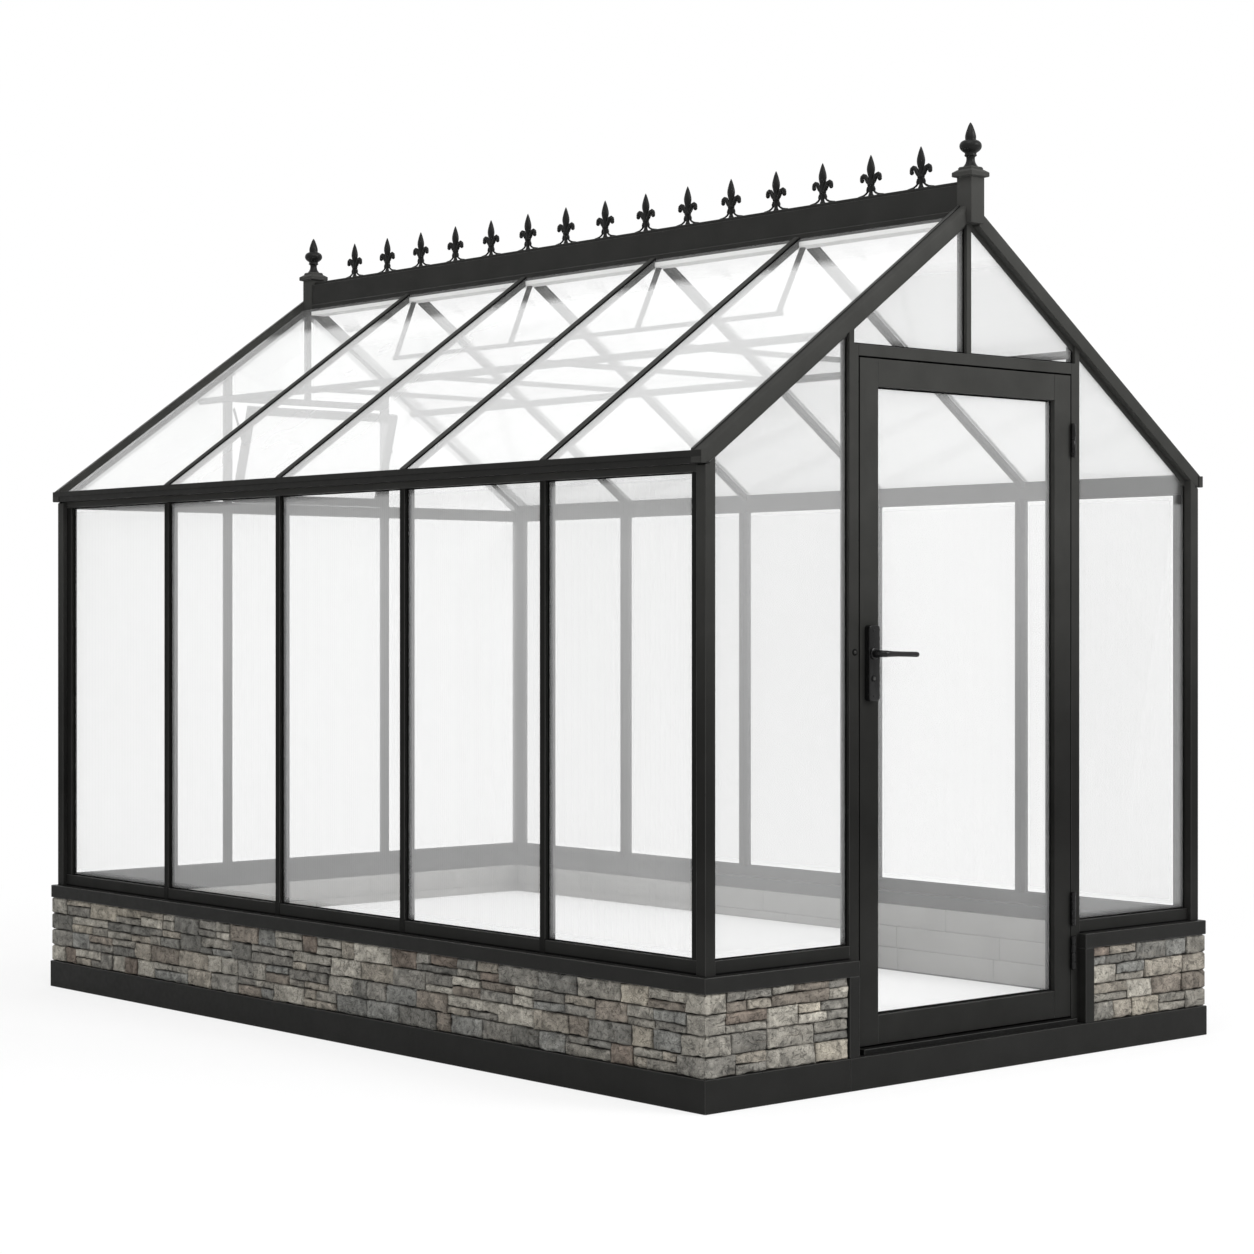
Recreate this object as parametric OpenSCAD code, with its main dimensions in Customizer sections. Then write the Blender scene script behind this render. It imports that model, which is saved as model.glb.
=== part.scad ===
// Glass greenhouse on a stone-faced plinth: gable roof, cresting on the ridge and one glazed door.
// Millimetres, +Z up, door towards -Y, origin on the ground under the middle of the building.

/* [Plinth] */
// Width over the metal skirt
base_w = 2124; // [1900:1:2400]
// Length over the metal skirt
base_l = 3380; // [3000:1:3800]
// Thickness of the plinth wall
plinth_t = 80; // [60:1:120]
// Height of the metal skirt
skirt_h = 90; // [60:1:130]
// Height of the stone facing
stone_h = 222; // [150:1:320]
// Height of the metal cap
cap_h = 43; // [30:1:60]
// Stone face behind the skirt face
stone_setback = 5; // [2:0.5:12]
// Cap face behind the skirt face
cap_setback = 2; // [0:0.5:6]
// Lap of each doorway trim over the face of its jamb
trim_lap = 9; // [4:1:16]
// Width of each doorway trim
trim_w = 39; // [25:1:60]
// Joint between the two skirt lengths at the front
seam_gap = 0.8; // [0.2:0.1:0.9]

/* [Wall frame] */
// Post face behind the skirt face
frame_inset = 19; // [12:1:30]
// Side of the square corner posts
post_w = 36; // [30:1:45]
// Glazing bars behind the post face
bar_recess = 15; // [8:1:18]
// Width of the glazing bars
bar_w = 24; // [16:1:34]
// Width of the strips beside the corner posts
end_strip_w = 34; // [20:1:45]
// Start of the bar grid behind the post face
grid_inset = 31; // [18:1:60]
// Number of bays along a side
bay_count = 5; // [3:1:7]
// Height of the sill rails
sill_h = 38; // [25:1:55]
// Height of the head rail that shows below the gutter
head_show_h = 20; // [12:1:40]

/* [Glass] */
// Thickness of the panes
glass_t = 6; // [3:0.5:6.5]
// Wall panes behind the bar face
glass_setback = 13; // [8:0.5:14]
// Roof panes below the top of the roof bars
roof_glass_drop = 6; // [3:0.5:12]
// Play left round each pane
pane_gap = 0.5; // [0.2:0.1:0.9]

/* [Roof] */
// Roof pitch in degrees
pitch = 35.4; // [30:0.1:42]
// Depth of the gable rafters across the slope
rafter_h = 43; // [36:1:60]
// Height of the eaves gutter
gutter_h = 35; // [28:1:45]
// Height of the lip along the top of the gutter
lip_h = 17; // [8:1:20]
// Lip in front of the gutter band
lip_out = 3; // [1:0.5:6]
// Width of the channel in the gutter
channel_w = 18; // [10:1:20]
// Depth of the channel in the gutter
channel_d = 22; // [10:1:25]
// Gutter ends behind the skirt face
gutter_end_setback = 5; // [1:1:12]
// Width of the purlins
purlin_w = 26; // [18:1:40]
// Depth of the purlins
purlin_h = 26; // [18:1:40]
// Side of the tie bars
tie_w = 16; // [10:1:20]

/* [Ridge] */
// Width of the ridge beam
ridge_w = 50; // [40:1:54]
// Height of the ridge beam
ridge_h = 74; // [50:1:100]
// Underside of the ridge beam below the roof apex
ridge_drop = 30; // [10:1:36]
// Height of the web below the ridge beam
web_h = 37; // [30:1:60]
// Side of the square ridge posts
ridge_post_w = 55; // [55:1:70]
// Ridge posts above the ridge beam
ridge_post_rise = 21; // [14:1:40]
// Front ridge post in front of the rafter face
ridge_post_proud = 18; // [5:1:18.5]
// Side of the moulded post caps
post_cap_w = 76; // [72:1:90]
// Height of the moulded post caps
post_cap_h = 30; // [20:1:45]
// Height of the finials
finial_h = 128; // [90:1:180]
// Width of the finial ball
finial_w = 65; // [45:1:70]

/* [Cresting] */
// Height of the rail under the cresting
crest_rail_h = 12; // [8:1:18]
// Width of the rail under the cresting
crest_rail_w = 26; // [14:1:40]
// Number of cresting pieces
crest_count = 15; // [9:1:15]
// Front finial to the first cresting piece
crest_first = 192; // [120:1:260]
// Spacing of the cresting pieces
crest_pitch = 201; // [150:1:204]
// Height of a cresting piece
crest_h = 123; // [90:1:150]
// Width of a cresting piece
crest_w = 90; // [60:1:120]
// Thickness of a cresting piece
crest_t = 9; // [5:1:14]

/* [Hanging rail] */
// Drop of the rail below the ridge web
hanger_drop = 200; // [120:1:260]
// Lean of the hangers along the ridge
hanger_rake = 105; // [0:5:160]
// Side of the hangers and the rail
hanger_w = 14; // [10:1:22]

/* [Door] */
// Width of the door leaf
leaf_w = 896; // [880:1:900]
// Height of the door leaf
leaf_h = 1900; // [1750:1:1940]
// Thickness of the door leaf
leaf_t = 36; // [30:1:44]
// Gap round the door leaf
door_gap = 5; // [4:0.5:6]
// Width of the door stiles
stile_w = 72; // [60:1:100]
// Height of the door's top rail
top_rail_h = 77; // [60:1:120]
// Height of the door's bottom rail
bottom_rail_h = 81; // [60:1:160]
// Door glass behind the leaf face
door_glass_setback = 18; // [10:1:22]
// Width of the door jambs
jamb_w = 37; // [34:1:50]
// Depth of the door jambs
jamb_d = 36; // [30:1:45]
// Width of the jambs above the header
upper_jamb_w = 20; // [14:1:26]
// Height of the door header
header_h = 32; // [20:1:50]
// Header to the rafter beside the jambs
upper_light_h = 52; // [20:1:160]
// Width of the gable mullions
mullion_w = 20; // [14:1:30]
// Height of the threshold strip
threshold_h = 17; // [10:1:25]
// Threshold strip behind the skirt face
threshold_setback = 12; // [6:1:25]

/* [Door fittings] */
// Height of a hinge
hinge_h = 100; // [70:2:110]
// Bottom of the leaf to the middle of the lowest hinge
hinge_foot = 188; // [100:1:260]
// Spacing of the two lower hinges
hinge_spacing = 130; // [115:1:200]
// Top of the leaf to the middle of the upper hinge
hinge_head = 192; // [100:1:260]
// Radius of the hinge knuckles
knuckle_r = 8; // [7:0.5:10]
// Radius of the hinge pins
pin_r = 4; // [3:0.5:5]
// Running clearance round the hinge pins
pin_clearance = 0.05; // [0.02:0.01:0.09]
// Height of the lever spindle above the ground
lever_z = 1195; // [900:1:1300]
// Length of the lever
lever_l = 140; // [90:1:160]
// Radius of the lever grip
lever_r = 8; // [6:0.5:10]
// Radius of the lever spindle
spindle_r = 7; // [5:0.5:7.5]
// Lever grip in front of its plate
lever_out = 42; // [30:1:60]
// Width of the handle plates
plate_w = 42; // [32:1:50]
// Height of the handle plates
plate_h = 210; // [160:1:260]
// Thickness of the handle plates
plate_t = 14; // [8:1:20]
// Radius of the key cylinder
key_r = 9; // [6:0.5:12]
// Key cylinder below the spindle
key_drop = 69; // [50:1:85]

/* [Rear gable] */
// Spacing of the two rear uprights
rear_upright_pitch = 711; // [600:1:780]
// Width of the rear uprights
rear_upright_w = 30; // [20:1:40]
// Height of the rear eaves bar
rear_bar_h = 36; // [24:1:50]
// Clear height of the vent opening
vent_clear_h = 372; // [300:1:420]
// Height of the rear transom
transom_h = 20; // [14:1:30]
// Width of the vent sash members
sash_w = 30; // [20:1:45]
// Thickness of the vent sash
sash_t = 18; // [14:1:21]
// Inward lean of the vent sash in degrees
vent_lean = 17; // [0:1:30]
// Play round the vent sash
vent_gap = 5; // [3:0.5:8]

/* [Hidden] */

// Overrun of every cut
cut = 10;
// Segments of a full turn on round pieces
$fn = 48;

// Heights
stone_z = skirt_h;
cap_z = stone_z + stone_h;
cap_top = cap_z + cap_h;
sill_top = cap_top + sill_h;
leaf_z = skirt_h + threshold_h + door_gap;
leaf_top = leaf_z + leaf_h;
header_z = leaf_top + door_gap;
header_top = header_z + header_h;

// Distances from the middle of the building
half_w = base_w / 2;
half_l = base_l / 2;
post_x = half_w - frame_inset;
post_y = half_l - frame_inset;
post_in_x = post_x - post_w;
post_in_y = post_y - post_w;
bar_d = post_w - bar_recess;
bar_x = post_x - bar_recess;
bar_y = post_y - bar_recess;
glass_x = bar_x - glass_setback;
glass_y = bar_y - glass_setback;
jamb_in = leaf_w / 2 + door_gap;
jamb_out = jamb_in + jamb_w;
trim_in = jamb_out - trim_lap;
trim_out = trim_in + trim_w;
plinth_in_x = half_w - plinth_t;
plinth_in_y = half_l - plinth_t;

// Eaves: the roof clears the header beside the jambs
jamb_shoulder = jamb_out - upper_jamb_w;
gutter_top = header_top + upper_light_h + rafter_h / cos(pitch) - (half_w - jamb_shoulder) * tan(pitch);
gutter_z = gutter_top - gutter_h;
head_z = gutter_z - head_show_h;

// Bars along the sides
bay = 2 * (post_y - grid_inset) / bay_count;
bar_places = [for (i = [1:bay_count - 1]) (i - bay_count / 2) * bay];

// Roof
bar_top_p = bar_recess;
pane_top_p = bar_top_p + roof_glass_drop;
pane_low_p = pane_top_p + glass_t;
head_top_p = pane_low_p + pane_gap;
function roof_z(x, p = 0) = gutter_top + (half_w - x) * tan(pitch) - p / cos(pitch);
apex = roof_z(0);
ridge_z = apex - ridge_drop;
ridge_top = ridge_z + ridge_h;
web_z = ridge_z - web_h;
web_x = ridge_post_w / 2;
post_top = ridge_top + ridge_post_rise;
finial_z = post_top + post_cap_h;
front_ridge_y = -post_y - ridge_post_proud;
rear_ridge_y = post_in_y - ridge_post_w;
ridge_start = front_ridge_y + ridge_post_w;
crest_z = ridge_top + crest_rail_h;
purlin_x = (jamb_out - upper_jamb_w / 2);

// Door
leaf_y = -bar_y;
hinge_x = leaf_w / 2 + door_gap / 2;
hinge_gap = 0.5;
hinge_z = [leaf_z + hinge_foot, leaf_z + hinge_foot + hinge_spacing, leaf_top - hinge_head];
hinge_y = leaf_y - knuckle_r - hinge_gap;
hinge_plate_t = 2;
hinge_plate_d = 26;
hinge_play = 1;
pane_x = leaf_w / 2 - stile_w;
lever_x = -(leaf_w - stile_w) / 2;
spindle_play = 0.5;
plate_corner = 8;

// Rear gable
upright_out = (rear_upright_pitch + rear_upright_w) / 2;
upright_in = upright_out - rear_upright_w;
rear_bar_top = head_z + rear_bar_h;
transom_z = rear_bar_top + vent_clear_h;
transom_top = transom_z + transom_h;
sash_x = upright_in - vent_gap;
sash_h = vent_clear_h - 2 * vent_gap;
sash_pivot_y = post_in_y;

// Colours
coating = [0.10, 0.10, 0.10];
stone = [0.62, 0.60, 0.57];
clear = [0.86, 0.90, 0.91, 0.35];
fitting = [0.06, 0.06, 0.06];

// Box between two corners
module slab(x, y, z) {
    translate([x[0], y[0], z[0]])
        cube([x[1] - x[0], y[1] - y[0], z[1] - z[0]]);
}

// The same piece on the left and on the right
module both_sides() {
    children();
    mirror([1, 0, 0]) children();
}

// Outline in the X-Z plane carried from y[0] to y[1]
module gable_prism(points, y) {
    translate([0, y[1], 0])
        rotate([90, 0, 0])
            linear_extrude(y[1] - y[0])
                polygon(points);
}

// Length of a member that follows the right-hand slope, between depths p below the roof plane
module slope_prism(x, p, y) {
    gable_prism([
        [x[0], roof_z(x[0], p[0])], [x[1], roof_z(x[1], p[0])],
        [x[1], roof_z(x[1], p[1])], [x[0], roof_z(x[0], p[1])]
    ], y);
}

// Mitred length of plinth along the right-hand side
module side_run(setback, z, h) {
    x = half_w - setback;
    y = half_l - setback;
    translate([0, 0, z])
        linear_extrude(h)
            polygon([[x, -y], [x, y], [plinth_in_x, plinth_in_y], [plinth_in_x, -plinth_in_y]]);
}

// Mitred length of plinth along the rear
module rear_run(setback, z, h) {
    x = half_w - setback;
    y = half_l - setback;
    translate([0, 0, z])
        linear_extrude(h)
            polygon([[x, y], [-x, y], [-plinth_in_x, plinth_in_y], [plinth_in_x, plinth_in_y]]);
}

// Length of plinth from the right-hand front corner to end_x
module front_run(setback, end_x, z, h) {
    x = half_w - setback;
    y = half_l - setback;
    translate([0, 0, z])
        linear_extrude(h)
            polygon([[x, -y], [plinth_in_x, -plinth_in_y], [end_x, -plinth_in_y], [end_x, -y]]);
}

// Plinth
module skirt_right() {
    color(coating) side_run(0, 0, skirt_h);
}
module skirt_left() {
    mirror([1, 0, 0]) skirt_right();
}
module skirt_rear() {
    color(coating) rear_run(0, 0, skirt_h);
}
module skirt_front() {
    color(coating) {
        front_run(0, seam_gap - trim_out, 0, skirt_h);
        mirror([1, 0, 0]) front_run(0, trim_out, 0, skirt_h);
    }
}
module plinth_right() {
    color(stone) side_run(stone_setback, stone_z, stone_h);
}
module plinth_left() {
    mirror([1, 0, 0]) plinth_right();
}
module plinth_rear() {
    color(stone) rear_run(stone_setback, stone_z, stone_h);
}
module plinth_front() {
    color(stone) both_sides() front_run(stone_setback, trim_out, stone_z, stone_h);
}
module cap_right() {
    color(coating) side_run(cap_setback, cap_z, cap_h);
}
module cap_left() {
    mirror([1, 0, 0]) cap_right();
}
module cap_rear() {
    color(coating) rear_run(cap_setback, cap_z, cap_h);
}
// The caps stop at the doorway and are notched round the jambs
module cap_front() {
    color(coating)
        both_sides()
            difference() {
                front_run(cap_setback, trim_in, cap_z, cap_h);
                slab([trim_in - cut, jamb_out], [-bar_y, 0], [cap_z - cut, cap_top + cut]);
            }
}
module doorway_trims() {
    color(coating)
        both_sides()
            difference() {
                slab([trim_in, trim_out], [cap_setback - half_l, -plinth_in_y], [stone_z, cap_z]);
                slab([trim_in - cut, jamb_out], [-bar_y, 0], [stone_z - cut, cap_z + cut]);
            }
}

// Wall frame
module sills() {
    color(coating) {
        both_sides() {
            slab([post_in_x, bar_x], [-post_in_y, post_in_y], [cap_top, sill_top]);
            slab([jamb_out, post_in_x], [-bar_y, -post_in_y], [cap_top, sill_top]);
        }
        slab([-post_in_x, post_in_x], [post_in_y, bar_y], [cap_top, sill_top]);
    }
}
module corner_posts() {
    color(coating)
        both_sides()
            for (y = [-post_y, post_in_y])
                gable_prism([
                    [post_in_x, cap_top], [post_x, cap_top],
                    [post_x, roof_z(post_x, rafter_h)], [post_in_x, roof_z(post_in_x, rafter_h)]
                ], [y, y + post_w]);
}
module wall_bars_right() {
    color(coating) {
        for (y = bar_places)
            slab([post_in_x, bar_x], [y - bar_w / 2, y + bar_w / 2], [sill_top, head_z]);
        for (y = [-post_in_y, post_in_y - end_strip_w])
            slab([post_in_x, bar_x], [y, y + end_strip_w], [sill_top, head_z]);
    }
}
module wall_bars_left() {
    mirror([1, 0, 0]) wall_bars_right();
}

// Eaves: the head rails reach up to the roof panes and are notched for the roof bars
module head_rails() {
    color(coating)
        both_sides()
            difference() {
                gable_prism([
                    [post_in_x, head_z], [bar_x, head_z],
                    [bar_x, roof_z(bar_x, head_top_p)], [post_in_x, roof_z(post_in_x, head_top_p)]
                ], [-post_in_y, post_in_y]);
                roof_bars_right();
            }
}
module gutter_right() {
    band_x = half_w - lip_out;
    end_y = half_l - gutter_end_setback;
    channel_x = (bar_x + band_x - channel_w) / 2;
    color(coating)
        difference() {
            union() {
                slab([post_x, band_x], [-end_y, end_y], [gutter_z, gutter_top]);
                slab([post_x, half_w], [-end_y, end_y], [gutter_top - lip_h, gutter_top]);
                slab([bar_x, post_x], [-post_in_y, post_in_y], [gutter_z, gutter_top]);
            }
            slab([channel_x, channel_x + channel_w], [-post_in_y, post_in_y],
                 [gutter_top - channel_d, gutter_top + cut]);
        }
}
module gutter_left() {
    mirror([1, 0, 0]) gutter_right();
}

// Roof
module front_rafter_right() {
    color(coating) slope_prism([web_x, post_x], [0, rafter_h], [-post_y, -post_in_y]);
}
module front_rafter_left() {
    mirror([1, 0, 0]) front_rafter_right();
}
module rear_rafter_right() {
    color(coating) slope_prism([0, post_x], [0, rafter_h], [post_in_y, post_y]);
}
module rear_rafter_left() {
    mirror([1, 0, 0]) rear_rafter_right();
}
module roof_bars_right() {
    color(coating)
        for (y = bar_places)
            slope_prism([web_x, bar_x], [bar_top_p, rafter_h], [y - bar_w / 2, y + bar_w / 2]);
}
module roof_bars_left() {
    mirror([1, 0, 0]) roof_bars_right();
}
module ridge_beam() {
    color(coating) {
        slab([-ridge_w / 2, ridge_w / 2], [ridge_start, rear_ridge_y], [ridge_z, ridge_top]);
        slab([-web_x, web_x], [ridge_start, rear_ridge_y], [web_z, ridge_z]);
    }
}
// Square post with a moulded cap that tapers to the foot of the finial
module ridge_posts() {
    plate_share = 0.3;
    step_share = 0.62;
    color(coating)
        for (y = [front_ridge_y, rear_ridge_y])
            translate([0, y + ridge_post_w / 2, 0]) {
                slab([-web_x, web_x], [-web_x, web_x], [web_z, post_top]);
                slab([-post_cap_w / 2, post_cap_w / 2], [-post_cap_w / 2, post_cap_w / 2],
                     [post_top, post_top + plate_share * post_cap_h]);
                translate([0, 0, post_top + plate_share * post_cap_h])
                    rotate([0, 0, 45])
                        cylinder(h = (1 - plate_share) * post_cap_h,
                                 d1 = post_cap_w * sqrt(2) * (1 + step_share) / 2,
                                 d2 = finial_w * step_share * sqrt(2), $fn = 4);
            }
}
// Turned finial: flared foot, neck ring, ball and spike; shares of its half width and height
module finials() {
    outline_shares = [
        [0, 0], [0.60, 0], [0.56, 0.04], [0.40, 0.09], [0.33, 0.15], [0.33, 0.23], [0.47, 0.25],
        [0.47, 0.28], [0.38, 0.30], [0.46, 0.33], [0.80, 0.36], [0.97, 0.42], [1.00, 0.47], [0.97, 0.52],
        [0.80, 0.57], [0.50, 0.60], [0.46, 0.63], [0.50, 0.67], [0.42, 0.76], [0.24, 0.89], [0, 1]
    ];
    color(coating)
        for (y = [front_ridge_y, rear_ridge_y])
            translate([0, y + ridge_post_w / 2, finial_z])
                rotate_extrude()
                    polygon([for (s = outline_shares) [s[0] * finial_w / 2, s[1] * finial_h]]);
}
// One side of a cresting piece, drawn in shares of its half width and height
module crest_half() {
    spear_shares = [[0, 0.42], [0.16, 0.42], [0.20, 0.52], [0.30, 0.62], [0.28, 0.74], [0.14, 0.88], [0, 1]];
    stem_shares = [
        [0, 0], [0.11, 0], [0.13, 0.20], [0.30, 0.27], [0.30, 0.33], [0.13, 0.36], [0.20, 0.46], [0, 0.46]
    ];
    foot_shares = [
        [0.13, 0.20], [0.34, 0.05], [0.74, 0], [1.00, 0], [1.00, 0.03], [0.62, 0.06], [0.13, 0.30]
    ];
    arm_place_share = 0.55;
    arm_height_share = 0.44;
    arm_radius_share = 0.45;
    arm_width_share = 0.18;
    for (shares = [spear_shares, stem_shares, foot_shares])
        polygon([for (s = shares) [s[0] * crest_w / 2, s[1] * crest_h]]);
    translate([arm_place_share * crest_w / 2, arm_height_share * crest_h])
        difference() {
            circle(arm_radius_share * crest_w / 2);
            circle((arm_radius_share - arm_width_share) * crest_w / 2);
            translate([-crest_w, -2 * crest_h]) square([2 * crest_w, 2 * crest_h]);
        }
}
// Row of cresting pieces on a rail along the ridge
module crest_rail() {
    color(coating)
        slab([-crest_rail_w / 2, crest_rail_w / 2], [ridge_start, rear_ridge_y], [ridge_top, crest_z]);
}
module cresting() {
    first_y = front_ridge_y + ridge_post_w / 2 + crest_first;
    color(coating)
        for (i = [0:crest_count - 1])
            translate([-crest_t / 2, first_y + i * crest_pitch, crest_z])
                rotate([90, 0, 90])
                    linear_extrude(crest_t) {
                        crest_half();
                        mirror([1, 0]) crest_half();
                    }
}
module purlins() {
    color(coating)
        both_sides()
            slope_prism([purlin_x - purlin_w / 2, purlin_x + purlin_w / 2], [rafter_h, rafter_h + purlin_h],
                        [jamb_d - bar_y, post_in_y]);
}
module tie_bars() {
    inner_x = purlin_x - purlin_w / 2;
    tie_z = roof_z(inner_x, rafter_h + purlin_h / 2);
    color(coating)
        for (y = bar_places)
            slab([-inner_x, inner_x], [y - tie_w / 2, y + tie_w / 2], [tie_z - tie_w / 2, tie_z + tie_w / 2]);
}
// Rail under the ridge on raking hangers
module hangers() {
    foot = web_z - hanger_drop + hanger_w;
    color(coating)
        for (y = bar_places)
            translate([hanger_w / 2, y, 0])
                rotate([90, 0, -90])
                    linear_extrude(hanger_w)
                        polygon([
                            [-hanger_w / 2, web_z], [hanger_w / 2, web_z],
                            [hanger_w / 2 - hanger_rake, foot], [-hanger_w / 2 - hanger_rake, foot]
                        ]);
}
module hanging_rail() {
    rail_z = web_z - hanger_drop;
    start = bar_places[0] + hanger_rake - hanger_w;
    end = bar_places[len(bar_places) - 1] + hanger_rake + hanger_w;
    color(coating) slab([-hanger_w / 2, hanger_w / 2], [start, end], [rail_z, rail_z + hanger_w]);
}

// Doorway
module threshold() {
    color(coating)
        slab([-jamb_in, jamb_in], [threshold_setback - half_l, -plinth_in_y],
             [skirt_h, skirt_h + threshold_h]);
}
module door_jambs() {
    color(coating)
        both_sides()
            gable_prism([
                [jamb_in, skirt_h], [jamb_out, skirt_h], [jamb_out, roof_z(jamb_out, rafter_h)],
                [jamb_shoulder, header_top + upper_light_h], [jamb_shoulder, header_top],
                [jamb_in, header_top]
            ], [-bar_y, jamb_d - bar_y]);
}
module door_header() {
    color(coating) slab([-jamb_in, jamb_in], [-bar_y, jamb_d - bar_y], [header_z, header_top]);
}
module front_mullion() {
    color(coating)
        slab([-mullion_w / 2, mullion_w / 2], [-bar_y, -post_in_y], [header_top, web_z]);
}

// Rear gable
module rear_uprights() {
    color(coating)
        both_sides()
            gable_prism([
                [upright_in, sill_top], [upright_out, sill_top],
                [upright_out, roof_z(upright_out, rafter_h)], [upright_in, roof_z(upright_in, rafter_h)]
            ], [post_in_y, bar_y]);
}
module rear_eaves_bar() {
    color(coating) {
        slab([-upright_in, upright_in], [post_in_y, bar_y], [head_z, rear_bar_top]);
        both_sides() slab([upright_out, post_in_x], [post_in_y, bar_y], [head_z, rear_bar_top]);
    }
}
module rear_transom() {
    color(coating) slab([-upright_in, upright_in], [post_in_y, bar_y], [transom_z, transom_top]);
}
module rear_mullion() {
    half = mullion_w / 2;
    color(coating)
        gable_prism([
            [-half, transom_top], [half, transom_top], [half, roof_z(half, rafter_h)],
            [0, roof_z(0, rafter_h)], [-half, roof_z(half, rafter_h)]
        ], [post_in_y, bar_y]);
}
// The vent sash is hung at its foot and leans inwards
module vent_lean_place() {
    translate([0, sash_pivot_y, rear_bar_top + pane_gap])
        rotate([vent_lean, 0, 0])
            children();
}
module vent_sash() {
    color(coating)
        vent_lean_place()
            difference() {
                slab([-sash_x, sash_x], [0, sash_t], [0, sash_h]);
                slab([sash_w - sash_x, sash_x - sash_w], [-cut, sash_t + cut], [sash_w, sash_h - sash_w]);
            }
}
module vent_pane() {
    inner_x = sash_x - sash_w - pane_gap;
    color(clear)
        vent_lean_place()
            slab([-inner_x, inner_x], [(sash_t - glass_t) / 2, (sash_t + glass_t) / 2],
                 [sash_w + pane_gap, sash_h - sash_w - pane_gap]);
}

// Glass
module wall_glass_right() {
    starts = concat([end_strip_w - post_in_y], [for (y = bar_places) y + bar_w / 2]);
    ends = concat([for (y = bar_places) y - bar_w / 2], [post_in_y - end_strip_w]);
    color(clear)
        for (i = [0:bay_count - 1])
            slab([glass_x - glass_t, glass_x], [starts[i] + pane_gap, ends[i] - pane_gap],
                 [sill_top + pane_gap, head_z - pane_gap]);
}
module wall_glass_left() {
    mirror([1, 0, 0]) wall_glass_right();
}
// Gable pane between x[0] and x[1], from a sill up to the rafter or to a level top
module gable_pane(x, z, top, y) {
    x0 = x[0] + pane_gap;
    x1 = x[1] - pane_gap;
    function pane_top(x) = min(roof_z(x, rafter_h), top) - pane_gap;
    bend = half_w - (top + rafter_h / cos(pitch) - gutter_top) / tan(pitch);
    points = concat(
        [[x0, z + pane_gap], [x1, z + pane_gap], [x1, pane_top(x1)]],
        bend > x0 && bend < x1 ? [[bend, pane_top(bend)]] : [],
        [[x0, pane_top(x0)]]
    );
    gable_prism(points, [y, y + glass_t]);
}
module front_glass() {
    color(clear)
        both_sides() {
            gable_pane([jamb_out, post_in_x], sill_top, apex, -glass_y);
            gable_pane([mullion_w / 2, jamb_shoulder], header_top, web_z, -glass_y);
        }
}
module rear_glass() {
    y = glass_y - glass_t;
    color(clear) {
        gable_prism([
            [-upright_in + pane_gap, sill_top + pane_gap], [upright_in - pane_gap, sill_top + pane_gap],
            [upright_in - pane_gap, head_z - pane_gap], [-upright_in + pane_gap, head_z - pane_gap]
        ], [y, y + glass_t]);
        both_sides() {
            gable_pane([upright_out, post_in_x], sill_top, head_z, y);
            gable_pane([upright_out, post_in_x], rear_bar_top, apex, y);
            gable_pane([mullion_w / 2, upright_in], transom_top, apex, y);
        }
    }
}
module roof_glass_right() {
    starts = concat([-post_in_y], [for (y = bar_places) y + bar_w / 2]);
    ends = concat([for (y = bar_places) y - bar_w / 2], [post_in_y]);
    color(clear)
        for (i = [0:bay_count - 1])
            slope_prism([web_x + pane_gap, bar_x - pane_gap], [pane_top_p, pane_low_p],
                        [starts[i] + pane_gap, ends[i] - pane_gap]);
}
module roof_glass_left() {
    mirror([1, 0, 0]) roof_glass_right();
}

// Door hinges: the lower knuckle and the pin stay on the jamb
module hinge_pins() {
    half_h = (hinge_h - hinge_play) / 2;
    color(fitting)
        for (z = hinge_z)
            translate([hinge_x, hinge_y, z - hinge_h / 2]) {
                cylinder(h = half_h, r = knuckle_r);
                cylinder(h = hinge_h, r = pin_r);
                slab([door_gap / 2 - hinge_plate_t, door_gap / 2], [0, hinge_plate_d], [0, half_h]);
            }
}
module hinge_knuckles() {
    half_h = (hinge_h - hinge_play) / 2;
    color(fitting)
        for (z = hinge_z)
            translate([hinge_x, hinge_y, z])
                difference() {
                    union() {
                        translate([0, 0, hinge_play / 2]) cylinder(h = half_h, r = knuckle_r);
                        slab([-door_gap / 2, hinge_plate_t - door_gap / 2], [0, hinge_plate_d],
                             [hinge_play / 2, hinge_h / 2]);
                    }
                    translate([0, 0, -cut]) cylinder(h = hinge_h, r = pin_r + pin_clearance);
                }
}

// Door leaf
module door_stiles() {
    color(coating)
        difference() {
            both_sides() slab([pane_x, leaf_w / 2], [leaf_y, leaf_y + leaf_t], [leaf_z, leaf_top]);
            translate([lever_x, leaf_y - cut, lever_z])
                rotate([-90, 0, 0])
                    cylinder(h = leaf_t + 2 * cut, r = spindle_r + spindle_play);
        }
}
module door_rails() {
    color(coating) {
        slab([-pane_x, pane_x], [leaf_y, leaf_y + leaf_t], [leaf_z, leaf_z + bottom_rail_h]);
        slab([-pane_x, pane_x], [leaf_y, leaf_y + leaf_t], [leaf_top - top_rail_h, leaf_top]);
    }
}
module door_pane() {
    y = leaf_y + door_glass_setback;
    color(clear)
        slab([pane_gap - pane_x, pane_x - pane_gap], [y, y + glass_t],
             [leaf_z + bottom_rail_h + pane_gap, leaf_top - top_rail_h - pane_gap]);
}
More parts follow.
